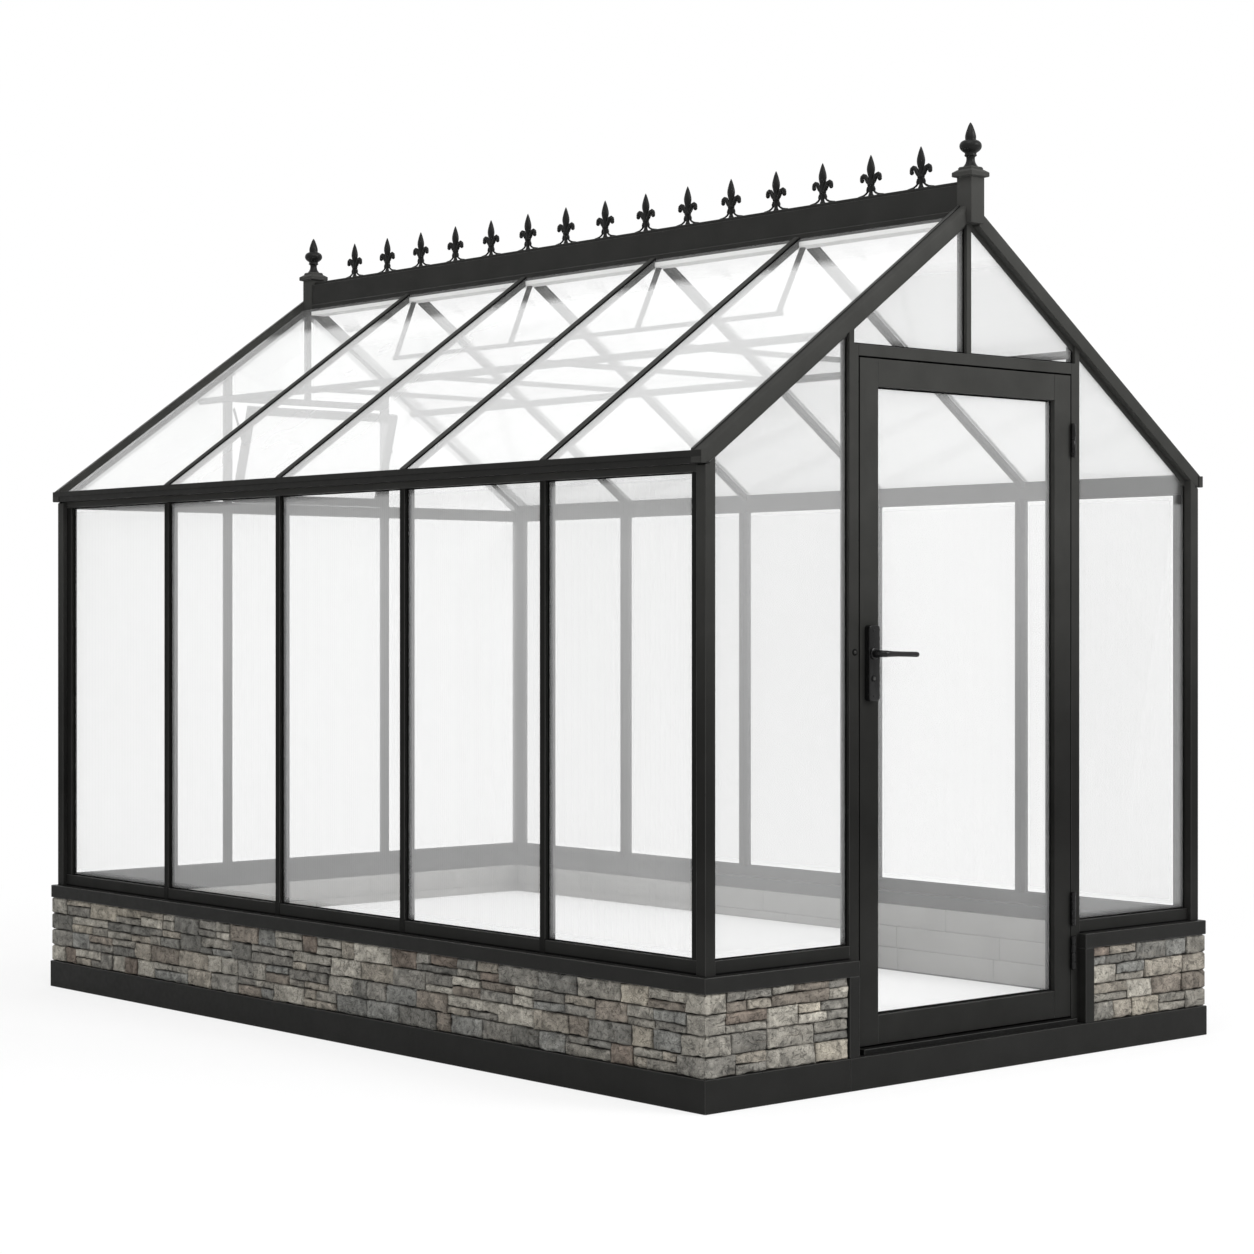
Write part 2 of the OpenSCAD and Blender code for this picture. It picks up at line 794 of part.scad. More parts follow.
// Handle plate with round corners and a key cylinder, outside and inside
module handle_plate() {
    difference() {
        union() {
            translate([lever_x, 0, lever_z - key_drop / 2])
                rotate([90, 0, 0])
                    linear_extrude(plate_t) {
                        square([plate_w - 2 * plate_corner, plate_h], center = true);
                        square([plate_w, plate_h - 2 * plate_corner], center = true);
                        for (x = [-1, 1], z = [-1, 1])
                            translate([x * (plate_w / 2 - plate_corner), z * (plate_h / 2 - plate_corner)])
                                circle(plate_corner);
                    }
            translate([lever_x, 0, lever_z - key_drop])
                rotate([90, 0, 0])
                    cylinder(h = plate_t + key_r / 2, r = key_r);
        }
        translate([lever_x, cut, lever_z])
            rotate([90, 0, 0])
                cylinder(h = plate_t + 2 * cut, r = spindle_r + pin_clearance);
    }
}
module handle_plates() {
    color(fitting) {
        translate([0, leaf_y, 0]) handle_plate();
        translate([0, leaf_y + leaf_t, 0]) mirror([0, 1, 0]) handle_plate();
    }
}
// Spindle through the stile with a lever at each end
module lever() {
    reach = plate_t + lever_out;
    color(fitting)
        translate([lever_x, leaf_y, lever_z]) {
            translate([0, -reach, 0])
                rotate([-90, 0, 0])
                    cylinder(h = leaf_t + 2 * reach, r = spindle_r);
            for (y = [-reach, leaf_t + reach])
                translate([-spindle_r, y, 0])
                    rotate([0, 90, 0])
                        cylinder(h = lever_l + spindle_r, r = lever_r);
        }
}

skirt_left();
skirt_right();
skirt_rear();
skirt_front();
plinth_left();
plinth_right();
plinth_rear();
plinth_front();
cap_left();
cap_right();
cap_rear();
cap_front();
doorway_trims();
sills();
corner_posts();
wall_bars_left();
wall_bars_right();
head_rails();
gutter_left();
gutter_right();
front_rafter_left();
front_rafter_right();
rear_rafter_left();
rear_rafter_right();
roof_bars_left();
roof_bars_right();
ridge_beam();
ridge_posts();
finials();
crest_rail();
cresting();
purlins();
tie_bars();
hangers();
hanging_rail();
threshold();
door_jambs();
door_header();
front_mullion();
rear_uprights();
rear_eaves_bar();
rear_transom();
rear_mullion();
vent_sash();
vent_pane();
wall_glass_left();
wall_glass_right();
front_glass();
rear_glass();
roof_glass_left();
roof_glass_right();
hinge_pins();
door_stiles();
door_rails();
door_pane();
handle_plates();
hinge_knuckles();
lever();
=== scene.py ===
import math
import random

import bmesh
import bpy
from mathutils import Matrix, Vector, noise


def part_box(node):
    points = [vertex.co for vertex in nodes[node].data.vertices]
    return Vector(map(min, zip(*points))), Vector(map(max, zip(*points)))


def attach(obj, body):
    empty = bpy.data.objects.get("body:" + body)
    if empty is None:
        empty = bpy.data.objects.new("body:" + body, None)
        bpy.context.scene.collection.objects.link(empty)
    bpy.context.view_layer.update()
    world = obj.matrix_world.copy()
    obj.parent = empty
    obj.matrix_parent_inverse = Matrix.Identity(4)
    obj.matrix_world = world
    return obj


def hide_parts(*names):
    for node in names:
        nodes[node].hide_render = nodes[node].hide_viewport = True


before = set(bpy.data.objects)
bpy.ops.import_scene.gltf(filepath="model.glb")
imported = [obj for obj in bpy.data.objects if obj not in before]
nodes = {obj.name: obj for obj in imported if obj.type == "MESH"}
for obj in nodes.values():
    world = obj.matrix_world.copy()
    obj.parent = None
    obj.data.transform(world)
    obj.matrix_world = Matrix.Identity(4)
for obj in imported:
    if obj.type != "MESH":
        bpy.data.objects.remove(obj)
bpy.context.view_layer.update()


# Skirt: folded lengths of sheet metal that stand on the ground and meet in mitres.
# All frame metal is powder coated nearly black, with a fine orange-peel surface and
# a rub of lighter, smoother coating along the folds and arrises.
MAIN_OUTPUT = {"ShaderNodeMix": 2, "ShaderNodeTexCoord": "Object", "ShaderNodeSeparateXYZ": "Z"}


def feed(node, **inputs):
    """Sets or links a node's inputs; underscores stand for spaces, i6 is the socket numbered 6."""
    for key, value in inputs.items():
        socket = node.inputs[int(key[1:]) if key[1:].isdigit() else key.replace("_", " ")]
        if isinstance(value, bpy.types.Node):
            value = value.outputs[MAIN_OUTPUT.get(value.bl_idname, 0)]
        if isinstance(value, bpy.types.NodeSocket):
            node.id_data.links.new(value, socket)
        else:
            socket.default_value = (*value, 1) if socket.type == "RGBA" else value


def wire(tree, kind, values=(), **inputs):
    """A new shader node with its own settings and its inputs fed."""
    node = tree.nodes.new("ShaderNode" + kind)
    for key, value in dict(values).items():
        setattr(node, key, value)
    feed(node, **inputs)
    return node


def speckle(tree, place, scale, detail, **inputs):
    """Noise over a place."""
    return wire(tree, "TexNoise", Vector=place, Scale=scale, Detail=detail, **inputs)


def remap(tree, value, low, high, start=0.0, end=1.0):
    """Takes a value that runs from start to end to one that runs from low to high."""
    return wire(tree, "MapRange", Value=value, From_Min=start, From_Max=end, To_Min=low, To_Max=high)


def mixed(tree, share, first, second, how="MIX"):
    """Mixes two colours by a share."""
    return wire(tree, "Mix", {"data_type": "RGBA", "blend_type": how}, Factor=share, i6=first, i7=second)


def reckon(tree, how, *terms):
    """One value from up to three terms."""
    return wire(tree, "Math", {"operation": how}, **{f"i{index}": term for index, term in enumerate(terms)})


def bumped(tree, height, strength, distance):
    """A normal that follows a height."""
    return wire(tree, "Bump", Height=height, Strength=strength, Distance=distance)


def blank_material(name):
    """A new material, its node tree and its shader."""
    material = bpy.data.materials.new(name)
    material.use_nodes = True
    return material, material.node_tree, material.node_tree.nodes["Principled BSDF"]


# Grain of a sprayed or cast surface: broad tone, uneven polish and an orange-peel height.
coat_grain = bpy.data.node_groups.new("coat_grain", "ShaderNodeTree")
for label, way in (("Grain", "INPUT"), ("Tone", "OUTPUT"), ("Polish", "OUTPUT"), ("Height", "OUTPUT")):
    coat_grain.interface.new_socket(label, in_out=way, socket_type="NodeSocketFloat")
grain_in = coat_grain.nodes.new("NodeGroupInput")
place = wire(coat_grain, "TexCoord")
feed(coat_grain.nodes.new("NodeGroupOutput"), Tone=speckle(coat_grain, place, 9.0, 4.0),
     Polish=speckle(coat_grain, place, 60.0, 6.0),
     Height=speckle(coat_grain, place, grain_in.outputs["Grain"], 2.0))


def coated_metal(name, dark, light, gloss, polish=(0.36, 0.52), grain=900.0, peel=0.00012, painted_light_by_height=()):
    """Sprayed metal: a clouded tone between two colours, varied roughness and a fine peel.
    The tone may be multiplied by painted light and shade that change with the height, by (height, factor) pairs."""
    material, tree, shader = blank_material(name)
    surface = wire(tree, "Group", {"node_tree": coat_grain}, Grain=grain)
    tone = mixed(tree, surface.outputs["Tone"], dark, light)
    # Painted light and shade: the tone is multiplied by a ramp over the height.
    if painted_light_by_height:
        top = painted_light_by_height[-1][0]
        height = wire(tree, "SeparateXYZ", Vector=wire(tree, "TexCoord"))
        fade = wire(tree, "ValToRGB", Fac=reckon(tree, "DIVIDE", height, top))
        stops = fade.color_ramp.elements
        while len(stops) < len(painted_light_by_height):
            stops.new(0.5)
        for stop, (stop_z, factor) in zip(stops, painted_light_by_height):
            stop.position = stop_z / top
            stop.color = (factor, factor, factor, 1)
        tone = mixed(tree, 1.0, tone, fade, "MULTIPLY")
    feed(shader, Base_Color=tone, Roughness=remap(tree, surface.outputs["Polish"], *polish, 0.3, 0.7),
         Normal=bumped(tree, surface.outputs["Height"], 0.6, peel), Specular_IOR_Level=gloss)
    return material


# Painted light and shade on the frame coat: lighter towards the top, a little darker around 0.7 m.
PAINTED_LIGHT_BY_HEIGHT = [(0.0, 1.05), (0.45, 1.05), (0.7, 0.70), (1.0, 0.92),
                  (1.3, 1.5), (1.55, 1.9), (1.9, 2.1), (2.7, 2.8)]
coating = coated_metal("black_powder_coat_painted_light", (0.0136, 0.0136, 0.0128), (0.0226, 0.0226, 0.0214), 0.02,
                       painted_light_by_height=PAINTED_LIGHT_BY_HEIGHT)
sheet_coat = coated_metal("folded_sheet_coat", (0.0108, 0.0108, 0.0101), (0.0180, 0.0180, 0.0170), 0.06)
coating_edge = coated_metal("rubbed_coat_edge", (0.018, 0.018, 0.017), (0.034, 0.034, 0.032), 0.16, (0.26, 0.42))
MERGE = 0.00001
SHARP = math.radians(40)


def dress(name, *finishes):
    """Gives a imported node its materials."""
    slots = nodes[name].data.materials
    slots.clear()
    for material in finishes:
        slots.append(material)


def ease_edges(width, *names, coat=coating):
    """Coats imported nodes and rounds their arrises; the rounds take the rubbed coating."""
    for name in names:
        dress(name, coat, coating_edge)
        node = nodes[name]
        node.modifiers.new("weld", "WELD").merge_threshold = MERGE
        flat = node.modifiers.new("flat_faces", "DECIMATE")
        flat.decimate_type = "DISSOLVE"
        flat.angle_limit = math.radians(1)
        ease = node.modifiers.new("eased_edges", "BEVEL")
        ease.width = width
        ease.segments = 2
        ease.profile = 0.5
        ease.limit_method = "ANGLE"
        ease.angle_limit = SHARP
        ease.material = 1


ease_edges(0.0016, "skirt_left", "skirt_right", "skirt_rear", "skirt_front", coat=sheet_coat)


# Plinth: split-face ledge stones in level courses on a mortar core, some courses laid
# as two thin stones. Corner stones are mitred, so each one shows on both walls.
# Inside, the core is lined with smooth cement boards.
UP = Vector((0, 0, 1))
STONE_TINTS = [
    ((0.290, 0.277, 0.248), 6), ((0.232, 0.224, 0.205), 6), ((0.385, 0.366, 0.325), 4),
    ((0.172, 0.169, 0.157), 4), ((0.310, 0.285, 0.246), 4), ((0.238, 0.211, 0.182), 3),
    ((0.400, 0.368, 0.312), 2), ((0.226, 0.227, 0.216), 3), ((0.200, 0.168, 0.143), 1),
]
stone_low, stone_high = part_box("plinth_left")
COURSES = 4
RELIEF = 0.0040
CELL = 0.0092
STONE_DEPTH = 0.028
JOINT = 0.0014
ARRIS = 0.0045
CORNER_NOTCH = 0.006
MITRE_FADE = 0.35
# Painted shade on the sides and backs of the stones, in the joints.
PAINTED_BACK_SHADE = 0.55


def finish(name, bm, materials, replaced=(), smooth_angle=None, body="greenhouse"):
    """Turns a bmesh into a piece that rides on a body, with smooth shading below an angle."""
    bmesh.ops.recalc_face_normals(bm, faces=bm.faces)
    if smooth_angle:
        for face in bm.faces:
            face.smooth = True
        for edge in bm.edges:
            if len(edge.link_faces) == 2 and edge.calc_face_angle(0) > smooth_angle:
                edge.smooth = False
    mesh = bpy.data.meshes.new(name)
    bm.to_mesh(mesh)
    bm.free()
    for material in materials:
        mesh.materials.append(material)
    piece = bpy.data.objects.new(name, mesh)
    bpy.context.scene.collection.objects.link(piece)
    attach(piece, body)
    if replaced:
        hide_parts(*replaced)


def of_kind(items, kind):
    """The vertices, edges or faces among what an operator made."""
    return [item for item in items if isinstance(item, kind)]


def lay_stone(bm, tint_shade_layer, tint, start, along, out, u, z, set_back, mitres, rng):
    """One stone with a rough face between u[0] and u[1] along the wall, closed at its back; its colour carries
    painted shade and highlight.
    """
    width, height = u[1] - u[0], z[1] - z[0]
    columns = max(4, round(width / CELL))
    rows = max(3, round(height / CELL))
    made = bmesh.ops.create_grid(bm, x_segments=columns, y_segments=rows, size=0.5)
    seed = Vector((rng.uniform(0, 50), rng.uniform(0, 50), rng.uniform(0, 50)))
    tilt, lean = rng.uniform(-0.02, 0.02), rng.uniform(-0.05, 0.05)
    skew = [rng.uniform(-0.0016, 0.0016) for _ in range(2)]
    painted_shades, mitred = {}, {}
    fade = width * MITRE_FADE

    def spread(share, cells, span):
        step = round((share + 0.5) * cells)
        if step in (0, cells):
            return 0 if step == 0 else span
        return ARRIS + (span - 2 * ARRIS) * (step - 1) / max(1, cells - 2)

    for vert in made["verts"]:
        a = spread(vert.co.x, columns, width)
        b = spread(vert.co.y, rows, height)
        edge_a = a in (0, width)
        edge_b = b in (0, height)
        spot = Vector((a, b, 0)) + seed
        crag = abs(noise.noise(Vector((spot.x + 0.6 * spot.y, spot.y * 1.4, spot.z)) * 27))
        flake = noise.noise(Vector((spot.x, spot.y * 2.2, spot.z)) * 55)
        dip = 0.9 * noise.noise(spot * 17) + 1.5 * (0.35 - crag) + 0.6 * flake + 0.35 * noise.noise(spot * 110)
        depth = set_back + RELIEF * dip
        depth += tilt * (a - width / 2) * 0.4 + lean * (b - height / 2) * 0.5
        if mitres[0] and a < fade:
            depth *= a / fade
        if mitres[1] and a > width - fade:
            depth *= (width - a) / fade
        corner = (mitres[0] and a == 0) or (mitres[1] and a == width)
        if corner:
            mitred[vert] = u[0] + STONE_DEPTH if a == 0 else u[1] - STONE_DEPTH
        if edge_b or (edge_a and not corner):
            chip = max(0.0, noise.noise(spot * 42 + seed) - 0.25)
            depth += 0.0034 + 0.0016 * noise.noise(spot * 90) + 0.010 * chip
            dip += 1.0 + 2.0 * chip
            inward = 0.0012 * noise.noise(spot * 34) + 0.0009 * noise.noise(spot * 88) + 0.004 * chip
            if corner:
                inward = depth = CORNER_NOTCH
            if edge_a:
                a += inward * (1 if a == 0 else -1)
            if edge_b:
                b += inward * (1 if b == 0 else -1) + skew[b > 0] * (2 * a / width - 1)
        vert.co = start + along * (u[0] + a) + UP * (z[0] + b) - out * depth
        # Painted shade and highlight: darker where the face dips and at its sunk, chipped edges, lighter along
        # the top.
        painted_top_light = 0.16 * max(0.0, b / height - 0.7) / 0.3
        painted_shades[vert] = min(1.36, max(0.52, 1.06 + painted_top_light - 0.26 * dip))
    faces = {face for vert in made["verts"] for face in vert.link_faces}
    rim = {edge for face in faces for edge in face.edges if edge.is_boundary}
    back = bmesh.ops.extrude_edge_only(bm, edges=list(rim))["geom"]
    back_verts = of_kind(back, bmesh.types.BMVert)
    for vert in back_verts:
        front = next(e.other_vert(vert) for e in vert.link_edges if e.other_vert(vert) in painted_shades)
        vert.co -= out * ((vert.co - start).dot(out) + STONE_DEPTH)
        if front in mitred:
            vert.co += along * (mitred[front] - (vert.co - start).dot(along))
    bmesh.ops.contextual_create(bm, geom=of_kind(back, bmesh.types.BMEdge))
    # The colour is the tint times the painted shade; the sides and back take the joints' painted shade.
    for vert in list(made["verts"]) + back_verts:
        for face in vert.link_faces:
            for loop in face.loops:
                shade = painted_shades.get(loop.vert, PAINTED_BACK_SHADE)
                loop[tint_shade_layer] = (tint[0] * shade, tint[1] * shade, tint[2] * shade, 1)


def pick_tint(rng):
    """A stone's colour: one of the tints by its share, a little darker or lighter."""
    tint = rng.choices([t for t, _ in STONE_TINTS], [w for _, w in STONE_TINTS])[0]
    shade = rng.uniform(0.85, 1.13)
    return tuple(channel * shade for channel in tint)


corner_rng = random.Random(7)
CORNERS = {}
for corner in ("left_front", "left_rear", "right_front", "right_rear"):
    CORNERS[corner] = [(pick_tint(corner_rng), corner_rng.uniform(0.075, 0.135)) for _ in range(COURSES)]
SHORTEST_STONE = 0.07
PAIRED_SHARE = 0.36
plinth_rise = stone_high.z - stone_low.z


def face_wall(bm, tint_shade_layer, start, out, length, corners, seed):
    """Lays the courses of one wall face from left to right, as seen from in front of it."""
    rng = random.Random(seed)
    along = UP.cross(out)
    rise = plinth_rise / COURSES

    def stone(u0, u1, z0, z1, tint, mitres=(False, False)):
        set_back = 0 if any(mitres) else rng.uniform(-0.001, 0.0045)
        lay_stone(bm, tint_shade_layer, tint, start, along, out,
                  (u0 + (0 if mitres[0] else JOINT), u1 - (0 if mitres[1] else JOINT)),
                  (z0 + JOINT, z1 - JOINT), set_back, mitres, rng)

    for course in range(COURSES):
        z0, z1 = course * rise, (course + 1) * rise
        u, end = 0.0, length
        if corners[0]:
            tint, u = CORNERS[corners[0]][course]
            stone(0, u, z0, z1, tint, (True, False))
        if corners[1]:
            tint, reach = CORNERS[corners[1]][course]
            end = length - reach
            stone(end, length, z0, z1, tint, (False, True))
        while u < end - 0.001:
            paired = rng.random() < PAIRED_SHARE
            step = rng.uniform(0.11, 0.24) if paired else rng.uniform(0.065, 0.185)
            if end - u - step < SHORTEST_STONE:
                step = end - u
            if not paired:
                stone(u, u + step, z0, z1, pick_tint(rng))
            else:
                split = z0 + rise * rng.uniform(0.38, 0.62)
                for low, high in ((z0, split), (split, z1)):
                    cut = u + step * rng.uniform(0.3, 0.7)
                    ends = [u, cut, u + step] if step > 0.16 and rng.random() < 0.7 else [u, u + step]
                    for left, right in zip(ends, ends[1:]):
                        stone(left, right, low, high, pick_tint(rng))
            u += step


stone_face, tree, shader = blank_material("split_ledge_stone")
place = wire(tree, "TexCoord")
# Vertex colour: each stone's tint times its painted shade and highlight.
tint = wire(tree, "VertexColor", {"layer_name": "stone_tint_painted_shade"})
blotch = speckle(tree, place, 30.0, 8.0, Roughness=0.66, Distortion=0.5)
speck = speckle(tree, place, 260.0, 5.0, Roughness=0.7)
bed = wire(tree, "Mapping", Vector=place, Scale=(14.0, 14.0, 95.0))
bedding = speckle(tree, bed, 1.0, 6.0, Distortion=0.6)
blotch_tone = wire(tree, "ValToRGB", Fac=blotch)
for stop, position, tone in zip(blotch_tone.color_ramp.elements, (0.30, 0.68),
                                ((0.50, 0.50, 0.495), (1.36, 1.35, 1.32))):
    stop.position = position
    stop.color = (*tone, 1)
colour = mixed(tree, 1.0, tint, blotch_tone, "MULTIPLY")
colour = mixed(tree, 1.0, colour, remap(tree, speck, 0.78, 1.18, 0.35, 0.65), "MULTIPLY")
colour = mixed(tree, remap(tree, bedding, 0.0, 0.25, 0.55, 0.80), colour, (0.19, 0.150, 0.115))
crack_place = wire(tree, "Mapping", Vector=place, Rotation=(0.4, 0.5, 0.3), Scale=(1.0, 1.0, 1.5))
crack = speckle(tree, crack_place, 26.0, 5.0, Distortion=1.4)
crack_width = reckon(tree, "ABSOLUTE", reckon(tree, "SUBTRACT", crack, 0.5))
crack_line = remap(tree, crack_width, 0.45, 1.0, 0.0, 0.022)
colour = mixed(tree, 1.0, colour, crack_line, "MULTIPLY")
relief = reckon(tree, "ADD", reckon(tree, "ADD", blotch, speck), crack_line)
feed(shader, Base_Color=colour, Roughness=remap(tree, speck, 0.78, 0.98),
     Normal=bumped(tree, relief, 0.9, 0.005), Specular_IOR_Level=0.2)

mortar, tree, shader = blank_material("dark_mortar")
sand = speckle(tree, wire(tree, "TexCoord"), 500.0, 4.0)
feed(shader, Base_Color=mixed(tree, sand, (0.010, 0.010, 0.009), (0.045, 0.043, 0.039)),
     Normal=bumped(tree, sand, 0.8, 0.001), Roughness=0.95)

lining, tree, shader = blank_material("smooth_cement_lining")
place = wire(tree, "TexCoord")
trowel = speckle(tree, place, 7.0, 6.0)
sand = speckle(tree, place, 420.0, 3.0)
feed(shader, Base_Color=mixed(tree, trowel, (0.255, 0.251, 0.240), (0.355, 0.351, 0.339)),
     Roughness=remap(tree, sand, 0.75, 0.95), Normal=bumped(tree, sand, 0.5, 0.0006), Specular_IOR_Level=0.2)


def add_bar(bm, low, high):
    """A box between two corners; returns its vertices."""
    low, high = Vector(low), Vector(high)
    matrix = Matrix.Translation((low + high) / 2) @ Matrix.Diagonal((*(high - low), 1))
    return bmesh.ops.create_cube(bm, size=1.0, matrix=matrix)["verts"]


def rounded(bm, edges, offset, segments=2):
    """Rounds edges."""
    bmesh.ops.bevel(bm, geom=edges, offset=offset, segments=segments, profile=0.5,
                    affect="EDGES", material=-1, clamp_overlap=True)


def eased_bars(bm, boxes, round_by):
    """Adds bars between pairs of corners and rounds all their edges."""
    for low, high in boxes:
        verts = add_bar(bm, Vector(map(min, low, high)), Vector(map(max, low, high)))
        rounded(bm, list({edge for vert in verts for edge in vert.link_edges}), round_by)


LINING_COURSES = 3
LINING_DEPTH = 0.021
SHORTEST_BOARD = 0.3


def line_wall(bm, start, out, length, seed):
    """Smooth cement boards in level courses on the inner face of one wall."""
    rng = random.Random(seed)
    along = UP.cross(out)
    rise = plinth_rise / LINING_COURSES
    gap = JOINT / 2
    for course in range(LINING_COURSES):
        u = 0.0
        while u < length - 0.001:
            step = rng.uniform(0.36, 0.62)
            if length - u - step < SHORTEST_BOARD:
                step = length - u
            near = start + along * (u + gap) + UP * (course * rise + gap)
            far = start + along * (u + step - gap) + UP * ((course + 1) * rise - gap) - out * LINING_DEPTH
            eased_bars(bm, [(near, far)], 0.0012)
            u += step


half_w, half_l = -stone_low.x, stone_high.y
inner_w, inner_l = -stone_high.x, -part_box("plinth_front")[1].y
trim_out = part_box("doorway_trims")[1].x
bottom, core_top = stone_low.z, stone_high.z - 0.001
side_wall, front_wall = half_w - trim_out, inner_w - trim_out
CORE = 0.019
core_w, core_l = half_w - CORE, half_l - CORE
lined_w, lined_l = inner_w + CORE, inner_l + CORE
# Each wall: its outer faces (start, outward, length, corner stones, seed), its inner faces
# (start, outward, length, seed) and its core (two corners on the ground plan).
WALLS = {
    "plinth_left": (
        [((-half_w, half_l), (-1, 0, 0), 2 * half_l, ("left_rear", "left_front"), 11)],
        [((-inner_w, -inner_l), (1, 0, 0), 2 * inner_l, 12)], [((-core_w, -core_l), (-lined_w, core_l))]),
    "plinth_right": (
        [((half_w, -half_l), (1, 0, 0), 2 * half_l, ("right_front", "right_rear"), 13)],
        [((inner_w, inner_l), (-1, 0, 0), 2 * inner_l, 14)], [((lined_w, -core_l), (core_w, core_l))]),
    "plinth_rear": (
        [((half_w, half_l), (0, 1, 0), 2 * half_w, ("right_rear", "left_rear"), 15)],
        [((-inner_w, inner_l), (0, -1, 0), 2 * inner_w, 16)], [((-lined_w, lined_l), (lined_w, core_l))]),
    "plinth_front": (
        [((-half_w, -half_l), (0, -1, 0), side_wall, ("left_front", None), 17),
         ((trim_out, -half_l), (0, -1, 0), side_wall, (None, "right_front"), 18)],
        [((-trim_out, -inner_l), (0, 1, 0), front_wall, 19), ((inner_w, -inner_l), (0, 1, 0), front_wall, 20)],
        [((-lined_w, -core_l), (-trim_out, -lined_l)), ((trim_out, -core_l), (lined_w, -lined_l))]),
}
for wall, (outer_faces, inner_faces, cores) in WALLS.items():
    bm = bmesh.new()
    tint_shade_layer = bm.loops.layers.float_color.new("stone_tint_painted_shade")
    for start, out, length, seed in inner_faces:
        line_wall(bm, Vector((*start, bottom)), Vector(out), length, seed)
    for face in bm.faces:
        face.material_index = 2
    for low, high in cores:
        for vert in add_bar(bm, (*low, bottom), (*high, core_top)):
            for face in vert.link_faces:
                face.material_index = 1
    for start, out, length, corners, seed in outer_faces:
        face_wall(bm, tint_shade_layer, Vector((*start, bottom)), Vector(out), length, corners, seed)
    finish(wall.replace("plinth", "ledge_stones"), bm, [stone_face, mortar, lining], [wall], 0.7)


# Caps, doorway trims and threshold: folded coated metal over the stone, mitred at the
# corners, with the trims standing on the skirt. The threshold strip between the jambs is
# coated darker, as painted shade.
ease_edges(0.0018, "cap_left", "cap_right", "cap_rear", "cap_front", "doorway_trims", coat=sheet_coat)
# Painted shade: a darker copy of the coat for the threshold.
threshold_shade_coat = coated_metal("threshold_painted_shade", (0.0035, 0.0035, 0.0034), (0.0085, 0.0085, 0.008), 0.05, (0.45, 0.7))
ease_edges(0.0018, "threshold", coat=threshold_shade_coat)


# Wall frame: extruded posts, sills, glazing bars and head rails of coated metal, screwed
# together at their ends; the glazing bars are a darker batch.
bar_coat = coated_metal("glazing_bar_coat", (0.0080, 0.0080, 0.0075), (0.0134, 0.0134, 0.0127), 0.02)
ease_edges(0.0014, "sills", "corner_posts", "head_rails")
ease_edges(0.0014, "wall_bars_left", "wall_bars_right", coat=bar_coat)
POST = 0.036
sill_low, sill_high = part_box("sills")
post_low, post_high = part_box("corner_posts")


def solid_boxes(name):
    """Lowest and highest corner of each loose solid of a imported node."""
    bm = bmesh.new()
    bm.from_mesh(nodes[name].data)
    bmesh.ops.remove_doubles(bm, verts=bm.verts, dist=MERGE)
    left, boxes = set(bm.verts), []
    while left:
        group, todo = set(), [next(iter(left))]
        while todo:
            vert = todo.pop()
            if vert not in group:
                group.add(vert)
                todo += [edge.other_vert(vert) for edge in vert.link_edges]
        left -= group
        boxes.append([Vector([pick(v.co[i] for v in group) for i in range(3)]) for pick in (min, max)])
    bm.free()
    return sorted(boxes, key=lambda box: tuple(round(c, 4) for c in (*box[0], *box[1])))


# Bar feet and inner bars: each wall bar runs down over the sill to the cap as a flat foot,
# and a deeper inner half behind the pane clamps the glass from inside. The wider strips
# beside the posts have neither.
FOOT_PROUD = 0.0014
FOOT_DEEP = 0.003
INNER_DEPTH = 0.017
WIDEST_BAR = 0.03
bm = bmesh.new()
for wall, out in (("wall_bars_left", -1), ("wall_bars_right", 1)):
    for low, high in solid_boxes(wall):
        face_x, back_x = (low.x, high.x) if out < 0 else (high.x, low.x)
        if high.y - low.y < WIDEST_BAR:
            eased_bars(bm, [((back_x - out * INNER_DEPTH, low.y, low.z), (back_x + out * 0.001, high.y, high.z)),
                            ((face_x - out * FOOT_DEEP, low.y, sill_low.z),
                             (face_x + out * FOOT_PROUD, high.y, sill_high.z + FOOT_DEEP))], 0.0006)
finish("bar_feet_and_inner_bars", bm, [bar_coat])


# Rubber strips: black strips pressed into the joint between the sills and the plinth cap;
# their black also stands in as painted shade, a dark line under the frame.
rubber = coated_metal("black_rubber", (0.0025, 0.0025, 0.0025), (0.005, 0.005, 0.005), 0.04, (0.75, 0.95),
                      300.0, 0.0002)
STRIP = 0.005
STRIP_PROUD = 0.0005
STRIP_DEEP = 0.004
POST_PROUD = 0.015
jamb_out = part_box("door_jambs")[1].x
strip_z = (sill_low.z, sill_low.z + STRIP)
strip_y = (STRIP_DEEP - sill_high.y, -sill_high.y - STRIP_PROUD)
strips = [((POST - post_high.x, -strip_y[0], strip_z[0]), (post_high.x - POST, -strip_y[1], strip_z[1]))]
for out in (-1, 1):
    strips.append(((out * (sill_high.x - STRIP_DEEP), POST - post_high.y, strip_z[0]),
                   (out * (sill_high.x + STRIP_PROUD), post_high.y - POST, strip_z[1])))
    strips.append(((out * (sill_high.x + POST_PROUD - POST), strip_y[0], strip_z[0]),
                   (out * jamb_out, strip_y[1], strip_z[1])))
bm = bmesh.new()
eased_bars(bm, strips, 0.0002)
finish("sill_rubber_shade_strips", bm, [rubber])


# Wall panes: milky panes with fine upright ribs, set between the bars on black rubber seals.
# The side, gable and rear panes are alike in shape; gable panes are cut to the rafter slope and take a darker
# copy of the milky glass, as painted shade on the lamp-lit front. The milk is thin along each pane's rim.
CLEAR_SHARE = 0.1
SHADOW_SHARE = 0.16
CLEAR_FADE = 0.035


